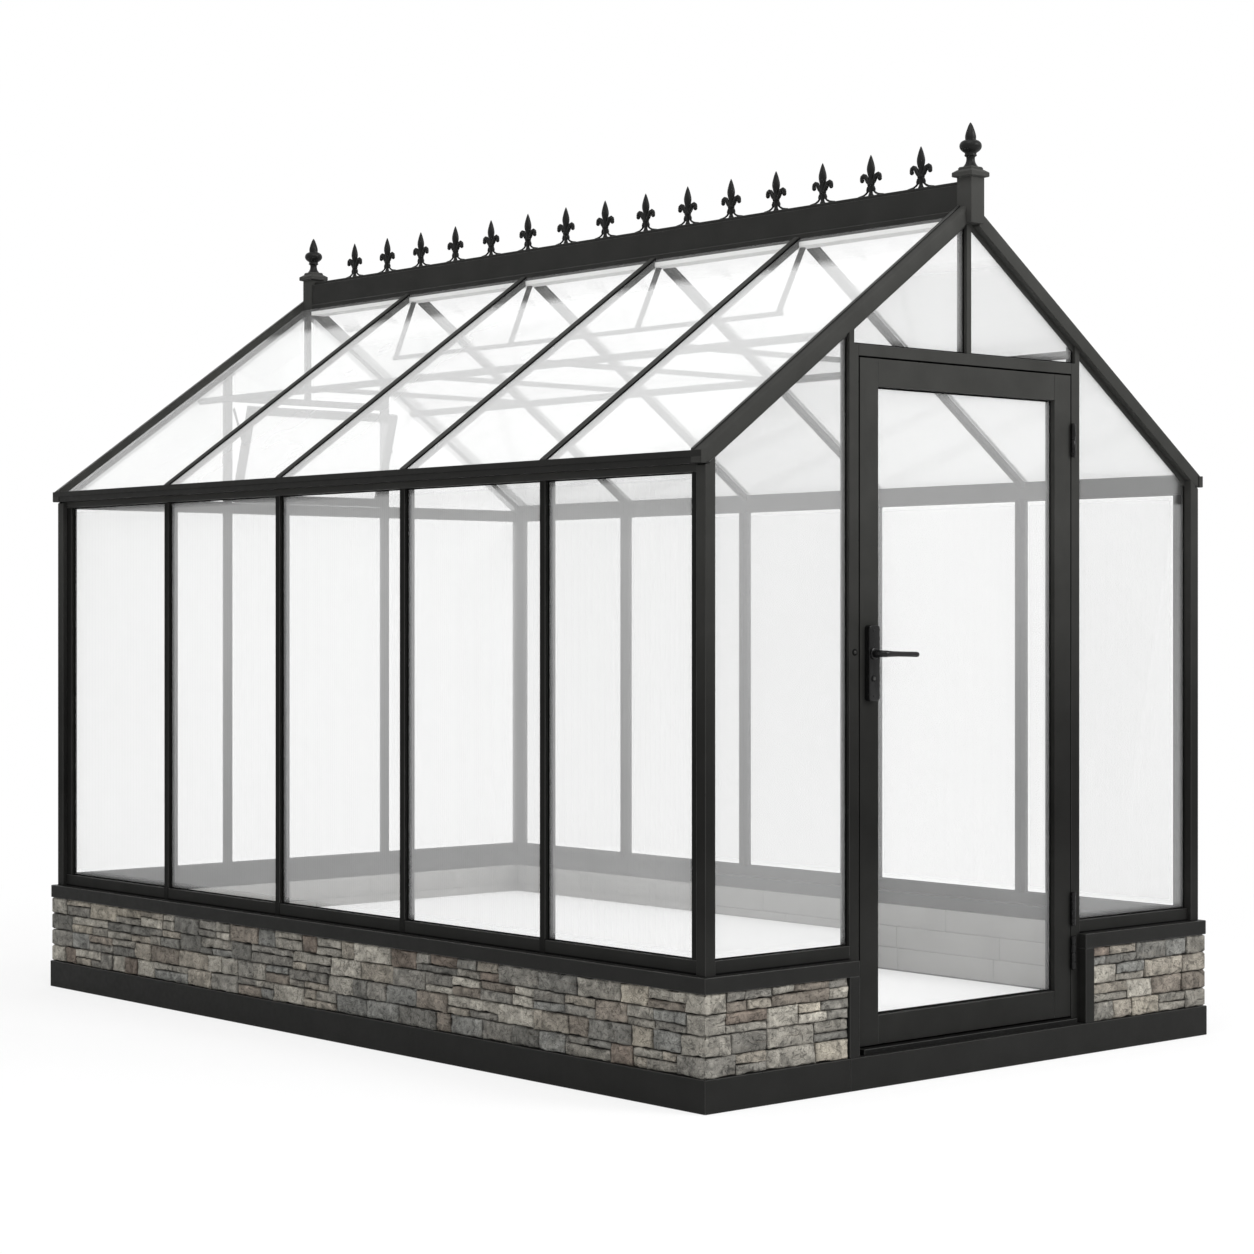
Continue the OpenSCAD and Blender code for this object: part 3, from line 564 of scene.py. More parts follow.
def pane_glass(name, veil, rough, tone, coat, rise=0.0, rim_layer="", clear_from=0.0):
    """Milky glass: a white veil over clear glass, glossy outside; light passes for shadows.
    The veil grows with the height by rise, is thin where rim_layer is dark and above clear_from."""
    material, tree, shader = blank_material(name)
    place = wire(tree, "TexCoord")
    haze = speckle(tree, place, 2.2, 3.0)
    height = wire(tree, "SeparateXYZ", Vector=place)
    milk = reckon(tree, "MULTIPLY_ADD", height, rise, remap(tree, haze, veil - 0.03, veil + 0.03))
    if clear_from:
        edge_wander = reckon(tree, "MULTIPLY_ADD", haze, 0.04, height)
        thin = remap(tree, edge_wander, 1.0, 2 * CLEAR_SHARE, clear_from, clear_from + CLEAR_FADE)
        milk = reckon(tree, "MULTIPLY", milk, thin)
    if rim_layer:
        rim = wire(tree, "VertexColor", {"layer_name": rim_layer})
        milk = reckon(tree, "MULTIPLY", milk, remap(tree, rim, CLEAR_SHARE, 1.0))
    shadow = remap(tree, wire(tree, "LightPath").outputs["Is Shadow Ray"], 1.0, SHADOW_SHARE)
    feed(shader, Base_Color=mixed(tree, haze, (tone * 0.98, tone * 0.99, tone * 0.985), (tone, tone, tone)),
         Alpha=reckon(tree, "MULTIPLY", milk, shadow), Roughness=rough, Coat_Weight=coat, Coat_Roughness=0.02)
    return material


ribbed_glass = pane_glass("ribbed_milky_glass", 0.29, 0.22, 0.95, 0.15, 0.07, "pane_rim")
# Painted shade: the gable glass is a darker copy of the wall glass.
gable_glass_painted_shade = pane_glass("ribbed_gable_glass_painted_shade", 0.36, 0.22, 0.62, 0.15, -0.05, "pane_rim")
RIM = 0.022
BAND_FADE = 0.010
BAND_MILK = 0.15
RIB_PITCH = 0.010
RIB_RISE = 0.00045
RIB_CELLS = 4
rafter_low, rafter_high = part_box("front_rafter_right")
PITCH = math.radians(35.4)
RAFTER = 0.043
PANE_GAP = 0.0005
roof_eave = Vector((rafter_high.x, 0, rafter_low.z + RAFTER / math.cos(PITCH)))


def join(bm, piece, matrix=None, slot=None):
    """Adds a bmesh that was made apart, put in its place, with its faces turned outwards."""
    if matrix:
        bmesh.ops.transform(piece, matrix=matrix, verts=piece.verts)
    if slot is not None:
        for face in piece.faces:
            face.material_index = slot
    bmesh.ops.recalc_face_normals(piece, faces=piece.faces)
    mesh = bpy.data.meshes.new("part")
    piece.to_mesh(mesh)
    piece.free()
    bm.from_mesh(mesh)
    bpy.data.meshes.remove(mesh)


def cut_off(bm, point, normal):
    """Cuts away what lies beyond a plane; returns the edges of the cut."""
    cut = bmesh.ops.bisect_plane(bm, geom=bm.verts[:] + bm.edges[:] + bm.faces[:],
                                 plane_co=point, plane_no=normal, clear_outer=True)
    return of_kind(cut["geom_cut"], bmesh.types.BMEdge)


def pane_places(name, out):
    """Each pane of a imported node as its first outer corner, its directions along and out, its
    width, thickness and height, and the plane under the rafters that cuts a gable pane."""
    out = Vector(out)
    along = UP.cross(out)
    across, through = (0, 1) if out.y else (1, 0)
    under = roof_eave - UP * ((RAFTER + PANE_GAP) / math.cos(PITCH))
    for low, high in solid_boxes(name):
        start = Vector([high[i] if out[i] - along[i] > 0 else low[i] for i in range(3)])
        size = [high[i] - low[i] for i in (across, through, 2)]
        side = 1 if low.x + high.x > 0 else -1
        slope = (Vector((side * under.x, 0, under.z)), Vector((side * math.sin(PITCH), 0, math.cos(PITCH))))
        yield start, along, out, size, [slope] if out.y else []


def ribbed_pane(bm, start, along, out, size, cuts, clear_band):
    """Pane with upright ribs on its outer face, cut to the slope. In clear_band, two heights,
    the milk thins out towards the far end, where a rail lies close behind."""
    width, thick, height = size
    columns = RIB_CELLS * max(2, round(width / RIB_PITCH))
    piece = bmesh.new()
    rim_layer = piece.loops.layers.float_color.new("pane_rim")
    levels = [0, RIM, height - RIM, height]
    if clear_band:
        low, high = clear_band[0] - start.z, clear_band[1] - start.z
        levels[2:2] = [low - BAND_FADE, low, high, high + BAND_FADE]
    last = len(levels) - 1
    milk = {}
    for vert in bmesh.ops.create_grid(piece, x_segments=columns, y_segments=last, size=0.5)["verts"]:
        across = (vert.co.x + 0.5) * width
        row = round((vert.co.y + 0.5) * last)
        milk[vert] = min(1.0, across / RIM, (width - across) / RIM) if 0 < row < last else 0.0
        if clear_band and row in (3, 4):
            milk[vert] = min(milk[vert], BAND_MILK * (width - across) / width)
        rib = RIB_RISE * math.cos(2 * math.pi * across / RIB_PITCH) - RIB_RISE
        vert.co = start + along * across + UP * levels[row] + out * rib
    for face in piece.faces:
        for loop in face.loops:
            loop[rim_layer] = (milk[loop.vert],) * 3 + (1,)
    for cut in cuts:
        cut_off(piece, *cut)
    rim = [edge for edge in piece.edges if edge.is_boundary]
    back = bmesh.ops.extrude_edge_only(piece, edges=rim)["geom"]
    for vert in of_kind(back, bmesh.types.BMVert):
        vert.co -= out * ((vert.co - start).dot(out) + thick)
    bmesh.ops.contextual_create(piece, geom=of_kind(back, bmesh.types.BMEdge))
    join(bm, piece)


HEAD_BAND = (1.648, 1.722)
RIGHT_OF_DOOR = 0.4
PANES = {"left": ("wall_glass_left", (-1, 0, 0), ribbed_glass),
         "right": ("wall_glass_right", (1, 0, 0), ribbed_glass),
         "front": ("front_glass", (0, -1, 0), gable_glass_painted_shade),
         "rear": ("rear_glass", (0, 1, 0), ribbed_glass)}
for side, (node, out, glass) in PANES.items():
    bm = bmesh.new()
    for pane in pane_places(node, out):
        banded = side == "front" and pane[0].x > RIGHT_OF_DOOR
        ribbed_pane(bm, *pane, HEAD_BAND if banded else None)
    finish("ribbed_panes_" + side, bm, [glass], [node], 0.6)


# Pane seals: a thin black rubber ring lies on the outer face of each wall and gable pane,
# pressed against the bars.
SEAL_WIDTH = 0.0035
SEAL_THICK = 0.002
SEAL_LIFT = 0.0002


def seal_ring(bm, start, along, out, size, cuts):
    """Flat ring round the edge of a pane: a face cut to shape, inset, opened and thickened."""
    width, _, height = size
    piece = bmesh.new()
    for vert in bmesh.ops.create_grid(piece, x_segments=1, y_segments=1, size=0.5)["verts"]:
        vert.co = (start + along * (vert.co.x + 0.5) * width + UP * (vert.co.y + 0.5) * height
                   + out * SEAL_LIFT)
    for cut in cuts:
        cut_off(piece, *cut)
    piece.normal_update()
    inner = piece.faces[:]
    ring = bmesh.ops.inset_region(piece, faces=inner, thickness=SEAL_WIDTH,
                                  use_even_offset=True, use_boundary=True)
    bmesh.ops.delete(piece, geom=inner, context="FACES")
    raised = bmesh.ops.extrude_face_region(piece, geom=ring["faces"])["geom"]
    bmesh.ops.translate(piece, vec=out * SEAL_THICK, verts=of_kind(raised, bmesh.types.BMVert))
    join(bm, piece)


bm = bmesh.new()
for node, out, _ in PANES.values():
    for pane in pane_places(node, out):
        seal_ring(bm, *pane)
finish("pane_seals", bm, [rubber])


# Roof panes and the panes of door and vent: the same milky glass without ribs, held between
# the roof bars or in the leaf's frame. The roof glass is clear in a band under the ridge.
roof_glass = pane_glass("milky_roof_glass", 0.39, 0.02, 1.0, 0.7, clear_from=2.33)
door_glass = pane_glass("milky_door_glass", 0.10, 0.03, 0.74, 0.3, 0.045)
for name, glass in (("roof_glass_left", roof_glass), ("roof_glass_right", roof_glass),
                    ("door_pane", door_glass), ("vent_pane", door_glass)):
    dress(name, glass)


# Gutters: extruded box gutters along both eaves with a lip at the top edge, open at the top.
# They run out just past the rafters' front face and are closed with pressed ends.
GUTTER_WALL = 0.004
GUTTER_LIP = 0.017
LIP_OUT = 0.003
GUTTER_SHORT = 0.0115
LAP = 0.001
END_THICK = 0.0016
END_IN = 0.0006
END_FROM = 0.016
gutter_low, gutter_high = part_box("gutter_right")
gutter_end = gutter_high.y - GUTTER_SHORT
band_x = gutter_high.x - LIP_OUT
floor_z = gutter_low.z + GUTTER_WALL
# Each length of the channel: across from and to, up from and to, half length.
CHANNEL = [
    (gutter_low.x, band_x, gutter_low.z, floor_z, gutter_end),
    (band_x - GUTTER_WALL, band_x, floor_z - LAP, gutter_high.z - 0.0005, gutter_end),
    (band_x - LAP, gutter_high.x, gutter_high.z - GUTTER_LIP, gutter_high.z, gutter_end),
    (gutter_low.x, gutter_low.x + GUTTER_WALL, floor_z - LAP, gutter_high.z, -post_low.y - POST),
]
bm, gutter_ends = bmesh.new(), bmesh.new()
for side in (-1, 1):
    eased_bars(bm, [((side * x0, -y, z0), (side * x1, y, z1)) for x0, x1, z0, z1, y in CHANNEL], 0.0007)
    end_x = side * (gutter_low.x + END_FROM), side * (gutter_high.x - END_IN)
    for end in (-1, 1):
        eased_bars(gutter_ends, [((end_x[0], end * (gutter_end - 0.002), gutter_low.z + END_IN),
                                  (end_x[1], end * (gutter_end + END_THICK), gutter_high.z - END_IN))], 0.0006)
join(bm, gutter_ends, slot=1)
finish("lipped_gutters", bm, [sheet_coat, coating], ["gutter_left", "gutter_right"])


# Gable rafters: deep extrusions cut upright against the ridge posts, well rounded along the outer
# top edge, with an upstand on the inner top edge and a black joint in front of it. A flat bead
# under each rafter holds the gable panes.
RAFTER_ROUND = 0.010
BAR_EASE = 0.0012
UPSTAND_DEEP, UPSTAND_TALL = 0.010, 0.004
JOINT_DEEP, JOINT_HALF = 0.0016, 0.0006
BEAD_TALL, BEAD_THICK = 0.015, 0.005
BEAD_TOP = 0.009
FOOT_BACK = 0.0005
FOOT_UP = 0.0015
SPARE = 0.1


def slope_bar(bm, side, x_ends, drop, y_ends, slot=0, outer_round=0.0, foot_z=0.0):
    """Bar along one roof slope, cut upright at both ends and level at foot_z; its outer top
    edge may be rounded more."""
    piece = bmesh.new()
    run = roof_eave.x / math.cos(PITCH)
    add_bar(piece, (-SPARE, min(y_ends), -drop[1]), (run + SPARE, max(y_ends), -drop[0]))
    if outer_round:
        outer_y = max(y_ends, key=abs)
        rounded(piece, [edge for edge in piece.edges if all(
            abs(v.co.y - outer_y) + abs(v.co.z + drop[0]) < MERGE for v in edge.verts)], outer_round, 6)
    lengthwise = [edge for edge in piece.edges
                  if abs(edge.verts[0].co.x - edge.verts[1].co.x) > 0.01 and edge.calc_face_angle(0) > 1.0]
    rounded(piece, lengthwise, min(BAR_EASE, (drop[1] - drop[0]) / 5))
    slope = Vector((-side * math.cos(PITCH), 0, math.sin(PITCH)))
    normal = Vector((side * math.sin(PITCH), 0, math.cos(PITCH)))
    lie = Matrix((slope, Vector((0, 1, 0)), normal)).transposed().to_4x4()
    lie.translation = (side * roof_eave.x, 0, roof_eave.z)
    bmesh.ops.transform(piece, matrix=lie, verts=piece.verts)
    planes = [((side * end_x, 0, 0), (way, 0, 0)) for end_x, way in zip(x_ends, (side, -side))]
    for plane in planes + [((0, 0, foot_z), (0, 0, -1))]:
        bmesh.ops.contextual_create(piece, geom=cut_off(piece, *plane))
    join(bm, piece, slot=slot)


ease_edges(0.0014, "roof_bars_left", "roof_bars_right")
pane_front = -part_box("front_glass")[0].y
rafters, beads = bmesh.new(), bmesh.new()
for gable, out in (("front", -1), ("rear", 1)):
    low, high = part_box(gable + "_rafter_right")
    inner_y, outer_y = sorted((abs(low.y), abs(high.y)))
    back_y = out * (inner_y + UPSTAND_DEEP)
    for side in (-1, 1):
        ends = (gutter_high.x - FOOT_BACK, low.x)
        slope_bar(rafters, side, ends, (0, RAFTER), (out * inner_y, out * outer_y), 0, RAFTER_ROUND,
                  gutter_low.z + FOOT_UP)
        slope_bar(rafters, side, ends, (-UPSTAND_TALL, 0.0004), (out * inner_y, back_y), 1)
        slope_bar(rafters, side, ends, (-JOINT_HALF, JOINT_HALF), (back_y, back_y + out * JOINT_DEEP), 2)
        slope_bar(beads, side, (post_high.x - POST - 0.001, BEAD_TOP), (RAFTER - 0.0005, RAFTER + BEAD_TALL),
                  (out * (pane_front + SEAL_LIFT), out * (pane_front + BEAD_THICK)))
finish("rounded_rafters", rafters, [coating, coating_edge, rubber],
       ["front_rafter_left", "front_rafter_right", "rear_rafter_left", "rear_rafter_right"], 0.5)
finish("gable_glazing_beads", beads, [coating], (), 0.5)


# Roof seals: black rubber strips that lie on the roof panes along both sides of each roof
# bar and are pressed under its edge.
ROOF_SEAL_WIDE = 0.0045
ROOF_PANE_DROP = 0.021
ROOF_SEAL_THICK = 0.003
bm = bmesh.new()
for side, name in ((-1, "roof_bars_left"), (1, "roof_bars_right")):
    for low, high in solid_boxes(name):
        ends = max(abs(low.x), abs(high.x)) - 0.002, min(abs(low.x), abs(high.x)) + 0.001
        for edge_y, way in ((low.y, -1), (high.y, 1)):
            slope_bar(bm, side, ends, (ROOF_PANE_DROP - ROOF_SEAL_THICK, ROOF_PANE_DROP + 0.0005),
                      (edge_y - way * 0.001, edge_y + way * ROOF_SEAL_WIDE))
finish("roof_bar_seals", bm, [rubber], (), 0.5)


# Ridge: a deep box beam of coated metal with a web below it, fixed between the ridge posts,
# and a thin rail on top that carries the cresting.
# Painted light: the ridge beam and crest rail take their own copy of the frame coat, lighter than the plain coat
# but darker than the height ramp would make them.
ridge_lit_coat = coated_metal("ridge_powder_coat_painted_light", (0.0215, 0.0215, 0.0204), (0.0350, 0.0350, 0.0333), 0.03)
ease_edges(0.0016, "ridge_beam", "crest_rail", coat=ridge_lit_coat)


# Ridge seals: pale sealing tape folded round the web, under the top edge of the roof panes;
# through the panes it shows as a light band below the beam.
tape = coated_metal("pale_sealing_tape", (0.84, 0.84, 0.83), (0.92, 0.92, 0.91), 0.2, (0.6, 0.8), 300.0, 0.0002)
TAPE_THICK = 0.002
TAPE_TALL = 0.0125
beam_low, beam_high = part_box("ridge_beam")
web_x = rafter_low.x
tape_x, tape_y = web_x + TAPE_THICK, (beam_low.y + 0.001, beam_high.y - 0.001)
bm = bmesh.new()
eased_bars(bm, [((side * (web_x - 0.0005), tape_y[0], beam_low.z + 0.0003),
                 (side * tape_x, tape_y[1], beam_low.z + TAPE_TALL)) for side in (-1, 1)]
           + [((-tape_x, tape_y[0], beam_low.z - 0.0012), (tape_x, tape_y[1], beam_low.z + 0.0008))], 0.0004)
finish("ridge_seal_tape", bm, [tape])


# Ridge posts: square coated posts at both ends of the ridge, each with a moulded cap: a
# chamfered plate with a smaller step on it that carries the finial's foot.
CAP_RISE = 0.030
# Half width, and height above the post's shoulder.
CAP_STEPS = [(0.0275, -0.0015), (0.0362, 0.0008), (0.0380, 0.0026), (0.0380, 0.0132), (0.0362, 0.0150),
             (0.0250, 0.0225), (0.0250, 0.0262), (0.0222, CAP_RISE)]


def moulded_post(bm, low, high):
    """Square post lofted upwards face by face: shaft, chamfered cap plate and stepped top."""
    centre = Vector(((low.x + high.x) / 2, (low.y + high.y) / 2, 0))
    half = CAP_STEPS[0][0]
    first = bmesh.ops.create_grid(bm, x_segments=1, y_segments=1, size=1.0)["verts"]
    for vert in first:
        vert.co = centre + Vector((vert.co.x * half, vert.co.y * half, low.z))
    face = first[0].link_faces[0]
    for width, height in CAP_STEPS:
        made = bmesh.ops.extrude_face_region(bm, geom=[face])["geom"]
        face = of_kind(made, bmesh.types.BMFace)[0]
        for vert in of_kind(made, bmesh.types.BMVert):
            flat = (vert.co - centre) * (width / half)
            vert.co = centre + Vector((flat.x, flat.y, high.z - CAP_RISE + height))
        half = width


bm = bmesh.new()
for low, high in solid_boxes("ridge_posts"):
    moulded_post(bm, low, high)
finish("moulded_ridge_posts", bm, [coating], ["ridge_posts"])


# Finials: turned and cast, with a flared foot, a neck ring, a squat ball and a spike, screwed
# on the ridge posts. Profile in millimetres: radius and height above the foot.
cast_coat = coated_metal("black_cast_coat", (0.0075, 0.0075, 0.0072), (0.0135, 0.0135, 0.013), 0.12, (0.30, 0.48),
                         420.0, 0.0003)
FINIAL = [(0, 0), (22, 0), (21, 1.5), (17.5, 6), (14.6, 11), (13, 16), (12.3, 21), (12.4, 27), (14.2, 29.5),
          (17.6, 31.5), (17.9, 33.8), (16.6, 35.8), (16.4, 38.5), (18.5, 41.5), (23.5, 44.5), (28.2, 49),
          (31.2, 54), (32.3, 59.5), (31.4, 65), (28.6, 70), (24, 74), (18.4, 76.3), (16, 77), (15.6, 79),
          (16, 83), (16, 87), (14.8, 94), (12.4, 102.5), (9.6, 110.5), (6.4, 118.5), (3, 125), (0, 128)]
POLE_MERGE = 0.00002


def turned(profile, steps, unit=0.001):
    """A profile of (radius, height) spun round an upright axis at the origin."""
    piece = bmesh.new()
    chain = [piece.verts.new((radius * unit, 0, height * unit)) for radius, height in profile]
    edges = [piece.edges.new(pair) for pair in zip(chain, chain[1:])]
    bmesh.ops.spin(piece, geom=chain + edges, cent=(0, 0, 0), axis=UP, angle=2 * math.pi,
                   steps=steps, use_merge=True)
    bmesh.ops.remove_doubles(piece, verts=piece.verts, dist=MERGE)
    return piece


bm = bmesh.new()
for low, high in solid_boxes("finials"):
    join(bm, turned(FINIAL, 40), Matrix.Translation(((low.x + high.x) / 2, (low.y + high.y) / 2, low.z)))
bmesh.ops.remove_doubles(bm, verts=bm.verts, dist=POLE_MERGE)
finish("turned_finials", bm, [cast_coat], ["finials"], 0.9)


# Cresting: a row of cast fleur-de-lis, each with a spear-shaped middle leaf, two curled
# arms with a bead, a collar, two small drops and a pair of thin splayed feet on the rail.
# Millimetres: radius and height of the turned forms, (y, z) and radius along the rods.
SPEAR = [(0, 34), (6.8, 35), (7.6, 42), (7.8, 50), (9.2, 58), (11.8, 66), (13.8, 74), (14.4, 80), (13.6, 88),
         (11.2, 97), (7.6, 108), (3.9, 117), (1.2, 122), (0, 123)]
STEM = [(0, 0), (9.5, 0), (9.8, 3.5), (7.4, 7), (6.4, 12), (6.8, 20), (8.6, 28), (8.8, 34), (0, 36)]
COLLAR = [(0, 30), (11.0, 30.5), (12.6, 32.5), (12.8, 36.5), (11.4, 39), (0, 39.5)]
ARM = [((6, 36), 5.6), ((12.5, 43), 6.8), ((17.5, 53), 7.6), ((23, 60.5), 7.8), ((30, 63), 7.4),
       ((35.5, 60), 6.8), ((37.6, 54.5), 6.2), ((36, 49.5), 5.6)]
DROP = [((6, 31), 4.2), ((10.5, 26), 5.2), ((14, 19.5), 4.6), ((14.5, 14), 3.2)]
FOOT = [((6, 22), 3.4), ((12, 15), 3.4), ((20, 8.5), 3.3), ((30, 4), 3.1), ((42, 2.2), 2.8), ((52, 1.4), 2.2)]
ARM_BEAD = 0.0074
LEAF_FLAT = 0.72
ROD_FLAT = LEAF_FLAT * 1.15


def swept_rod(bm, path, sides, axes):
    """Sweeps a ring along points with radii, closed at both ends; axes gives the ring's two
    directions from the way ahead."""
    points = [Vector(point) for point, _ in path]
    ring = bmesh.ops.create_circle(bm, cap_ends=False, radius=1.0, segments=sides)["verts"]
    angles = [math.atan2(v.co.y, v.co.x) for v in ring]
    edges = list({edge for vert in ring for edge in vert.link_edges})
    rims = [edges]
    for index, (point, (_, radius)) in enumerate(zip(points, path)):
        ahead = points[min(index + 1, len(points) - 1)] - points[max(index - 1, 0)]
        first, second = axes(ahead.normalized())
        if index:
            made = bmesh.ops.extrude_edge_only(bm, edges=edges)["geom"]
            links = {v: e.other_vert(v) for v in ring for e in v.link_edges if e.other_vert(v) in made}
            ring = [links[v] for v in ring]
            edges = [e for e in of_kind(made, bmesh.types.BMEdge) if all(v in ring for v in e.verts)]
        for vert, angle in zip(ring, angles):
            vert.co = point + (math.cos(angle) * first + math.sin(angle) * second) * radius
    for rim in rims + [edges]:
        bmesh.ops.contextual_create(bm, geom=rim)


def rod_axes(ahead):
    """Ring directions of a rod that bends in the plane of the cresting and is a little flat."""
    return Vector((ROD_FLAT, 0, 0)), Vector((1, 0, 0)).cross(ahead)


def fleur(bm, place):
    """One cresting piece at a place on the rail."""
    for profile in (STEM, COLLAR, SPEAR):
        join(bm, turned(profile, 16), Matrix.Translation(place) @ Matrix.Diagonal((LEAF_FLAT, 1, 1, 1)))
    for sign in (-1, 1):
        for path in (ARM, DROP, FOOT):
            swept_rod(bm, [(place + Vector((0, sign * y, z)) / 1000, radius / 1000) for (y, z), radius in path],
                      8, rod_axes)
        y, z = ARM[-1][0]
        bead = Matrix.Translation(place + Vector((0, sign * y, z)) / 1000) @ Matrix.Diagonal((0.85, 1, 1, 1))
        bmesh.ops.create_icosphere(bm, subdivisions=2, radius=ARM_BEAD, matrix=bead)


bm = bmesh.new()
for low, high in solid_boxes("cresting"):
    fleur(bm, Vector((0, (low.y + high.y) / 2, low.z)))
bmesh.ops.remove_doubles(bm, verts=bm.verts, dist=POLE_MERGE)
finish("cast_cresting", bm, [cast_coat], ["cresting"], 0.9)


# Roof inside: slender square purlins laid to the slope under the roof bars, tie bars from
# side to side, and a rail on raking hangers under the ridge, all of coated bar.
ease_edges(0.0012, "tie_bars", "hangers", "hanging_rail")
PURLIN = 0.018
bm = bmesh.new()
for low, high in solid_boxes("purlins"):
    side = 1 if low.x > 0 else -1
    centre = (low + high) / 2
    bar = bmesh.new()
    eased_bars(bar, [((-PURLIN / 2, low.y, -PURLIN / 2), (PURLIN / 2, high.y, PURLIN / 2))], 0.0012)
    join(bm, bar, Matrix.Translation((centre.x, 0, centre.z)) @ Matrix.Rotation(side * PITCH, 4, "Y"))
finish("light_purlins", bm, [coating], ["purlins"])


# Front gable: door jambs, header and mullion of the same extrusion as the wall frame. A black
# rubber stop behind the leaf closes the gap round it, and thin black liners on the jamb and header are
# painted shade in the gap; an inner bar behind the mullion clamps the upper panes.
ease_edges(0.0014, "door_jambs", "door_header", "front_mullion")
STOP_LAP = 0.010
STOP_THICK = 0.008
STOP_GAP = 0.0012
BITE = 0.002
GAP_SHADE_LINER = 0.0009
LINER_BACK = 0.0015
leaf_low, leaf_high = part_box("door_stiles")
jamb_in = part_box("door_header")[1].x
head_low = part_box("door_header")[0].z
sill_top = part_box("threshold")[1].z
stop_y = leaf_high.y + STOP_GAP
stop_back = stop_y + STOP_THICK
stop_x = leaf_high.x - STOP_LAP
liner_y = leaf_low.y + LINER_BACK
bm = bmesh.new()
eased_bars(bm, [((side * stop_x, stop_y, sill_top), (side * (jamb_in + BITE), stop_back, head_low))
                for side in (-1, 1)]
           + [((-stop_x, stop_y, leaf_high.z - STOP_LAP), (stop_x, stop_back, head_low + BITE)),
              ((-stop_x, stop_y, sill_top - BITE), (stop_x, stop_back, leaf_low.z + STOP_LAP))], 0.0008)
# Thin black liners on the jamb and header: painted shade in the gap round the leaf.
eased_bars(bm, [((jamb_in - GAP_SHADE_LINER, liner_y, sill_top), (jamb_in + LAP, stop_y, head_low)),
                ((-leaf_high.x, liner_y, head_low - GAP_SHADE_LINER), (leaf_high.x, stop_y, head_low + LAP))], 0.0002)
finish("door_stops", bm, [rubber])
mullion_low, mullion_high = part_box("front_mullion")
bm = bmesh.new()
eased_bars(bm, [((mullion_low.x, mullion_high.y - LAP, mullion_low.z),
                 (mullion_high.x, mullion_high.y + INNER_DEPTH, mullion_high.z))], 0.0006)
finish("mullion_inner_bar", bm, [coating])


# Rear gable: uprights, eaves bar, transom and mullion of the same coated extrusion, and a
# bottom-hung vent sash that leans inwards.
ease_edges(0.0014, "rear_uprights", "rear_eaves_bar", "rear_transom", "rear_mullion", "vent_sash")


# Door leaf: broad stiles and rails of coated extrusion, welded at the corners round one pane.
# It hangs on three hinges at its right edge.
ease_edges(0.0016, "door_stiles", "door_rails")


# Door seals: black rubber rings on both faces of the door pane, inside the leaf's frame, and a
# thin black liner along the leaf's lock edge, painted shade in the gap.
bm = bmesh.new()
for out in (-1, 1):
    for pane in pane_places("door_pane", (0, out, 0)):
        seal_ring(bm, *pane)
# A thin black liner on the lock edge: painted shade in the gap.
eased_bars(bm, [((-leaf_high.x - GAP_SHADE_LINER, liner_y, leaf_low.z + LAP),
                 (-leaf_high.x + LAP, leaf_high.y - LINER_BACK, leaf_high.z - LAP))], 0.0002)
finish("door_pane_seals", bm, [rubber], body="door")


# Hinges: three turned steel hinges in satin black. The lower knuckle with the pin and a plate
# on the jamb is fixed to the frame; the upper knuckle swings with the leaf.
fitting_coat = coated_metal("satin_black_fitting", (0.0035, 0.0035, 0.0035), (0.0075, 0.0075, 0.0075), 0.2,
                            (0.16, 0.28), 1200.0, 0.00005)
KNUCKLE = 0.008
KNUCKLE_GAP = 0.0003
LEAF_PLATE = 0.0014
PLATE_END = 0.004
# Shares of the knuckle's radius and height.
BARREL = [(0, 0), (0.45, 0), (0.78, 0.012), (0.94, 0.035), (1.0, 0.075), (1.0, 0.44), (0.86, 0.455),
          (0.86, 0.485), (1.0, 0.5), (1.0, 0.96), (0.92, 0.985), (0.8, 1.0), (0, 1.0)]
fixed, swinging = bmesh.new(), bmesh.new()
for low, high in solid_boxes("hinge_pins"):
    axis = Vector(((low.x + high.x) / 2, low.y + KNUCKLE, 0))
    middle = (low.z + high.z) / 2
    tall = middle - low.z - KNUCKLE_GAP
    lower = [(radius * KNUCKLE, share * tall) for radius, share in BARREL]
    upper = [(radius, tall - height) for radius, height in reversed(lower)]
    join(fixed, turned(lower, 24, 1), Matrix.Translation(axis + UP * low.z))
    join(swinging, turned(upper, 24, 1), Matrix.Translation(axis + UP * (middle + KNUCKLE_GAP)))
    plate_x, plate_far = (axis.x - LEAF_PLATE, axis.x + LEAF_PLATE), axis.x + KNUCKLE
    eased_bars(fixed, [((plate_x[0], axis.y, low.z + PLATE_END), (plate_x[1], high.y, middle - LAP)),
                       ((plate_far + 0.0004, leaf_low.y - 0.0016, low.z),
                        (plate_far + 0.012, leaf_low.y + BITE, high.z))], 0.0005)
    eased_bars(swinging, [((plate_x[0], axis.y, middle + LAP), (plate_x[1], high.y, high.z - PLATE_END))], 0.0005)
finish("hinge_lower_knuckles", fixed, [fitting_coat], ["hinge_pins"], 0.6)
finish("hinge_upper_knuckles", swinging, [fitting_coat], ["hinge_knuckles"], 0.6, "door")


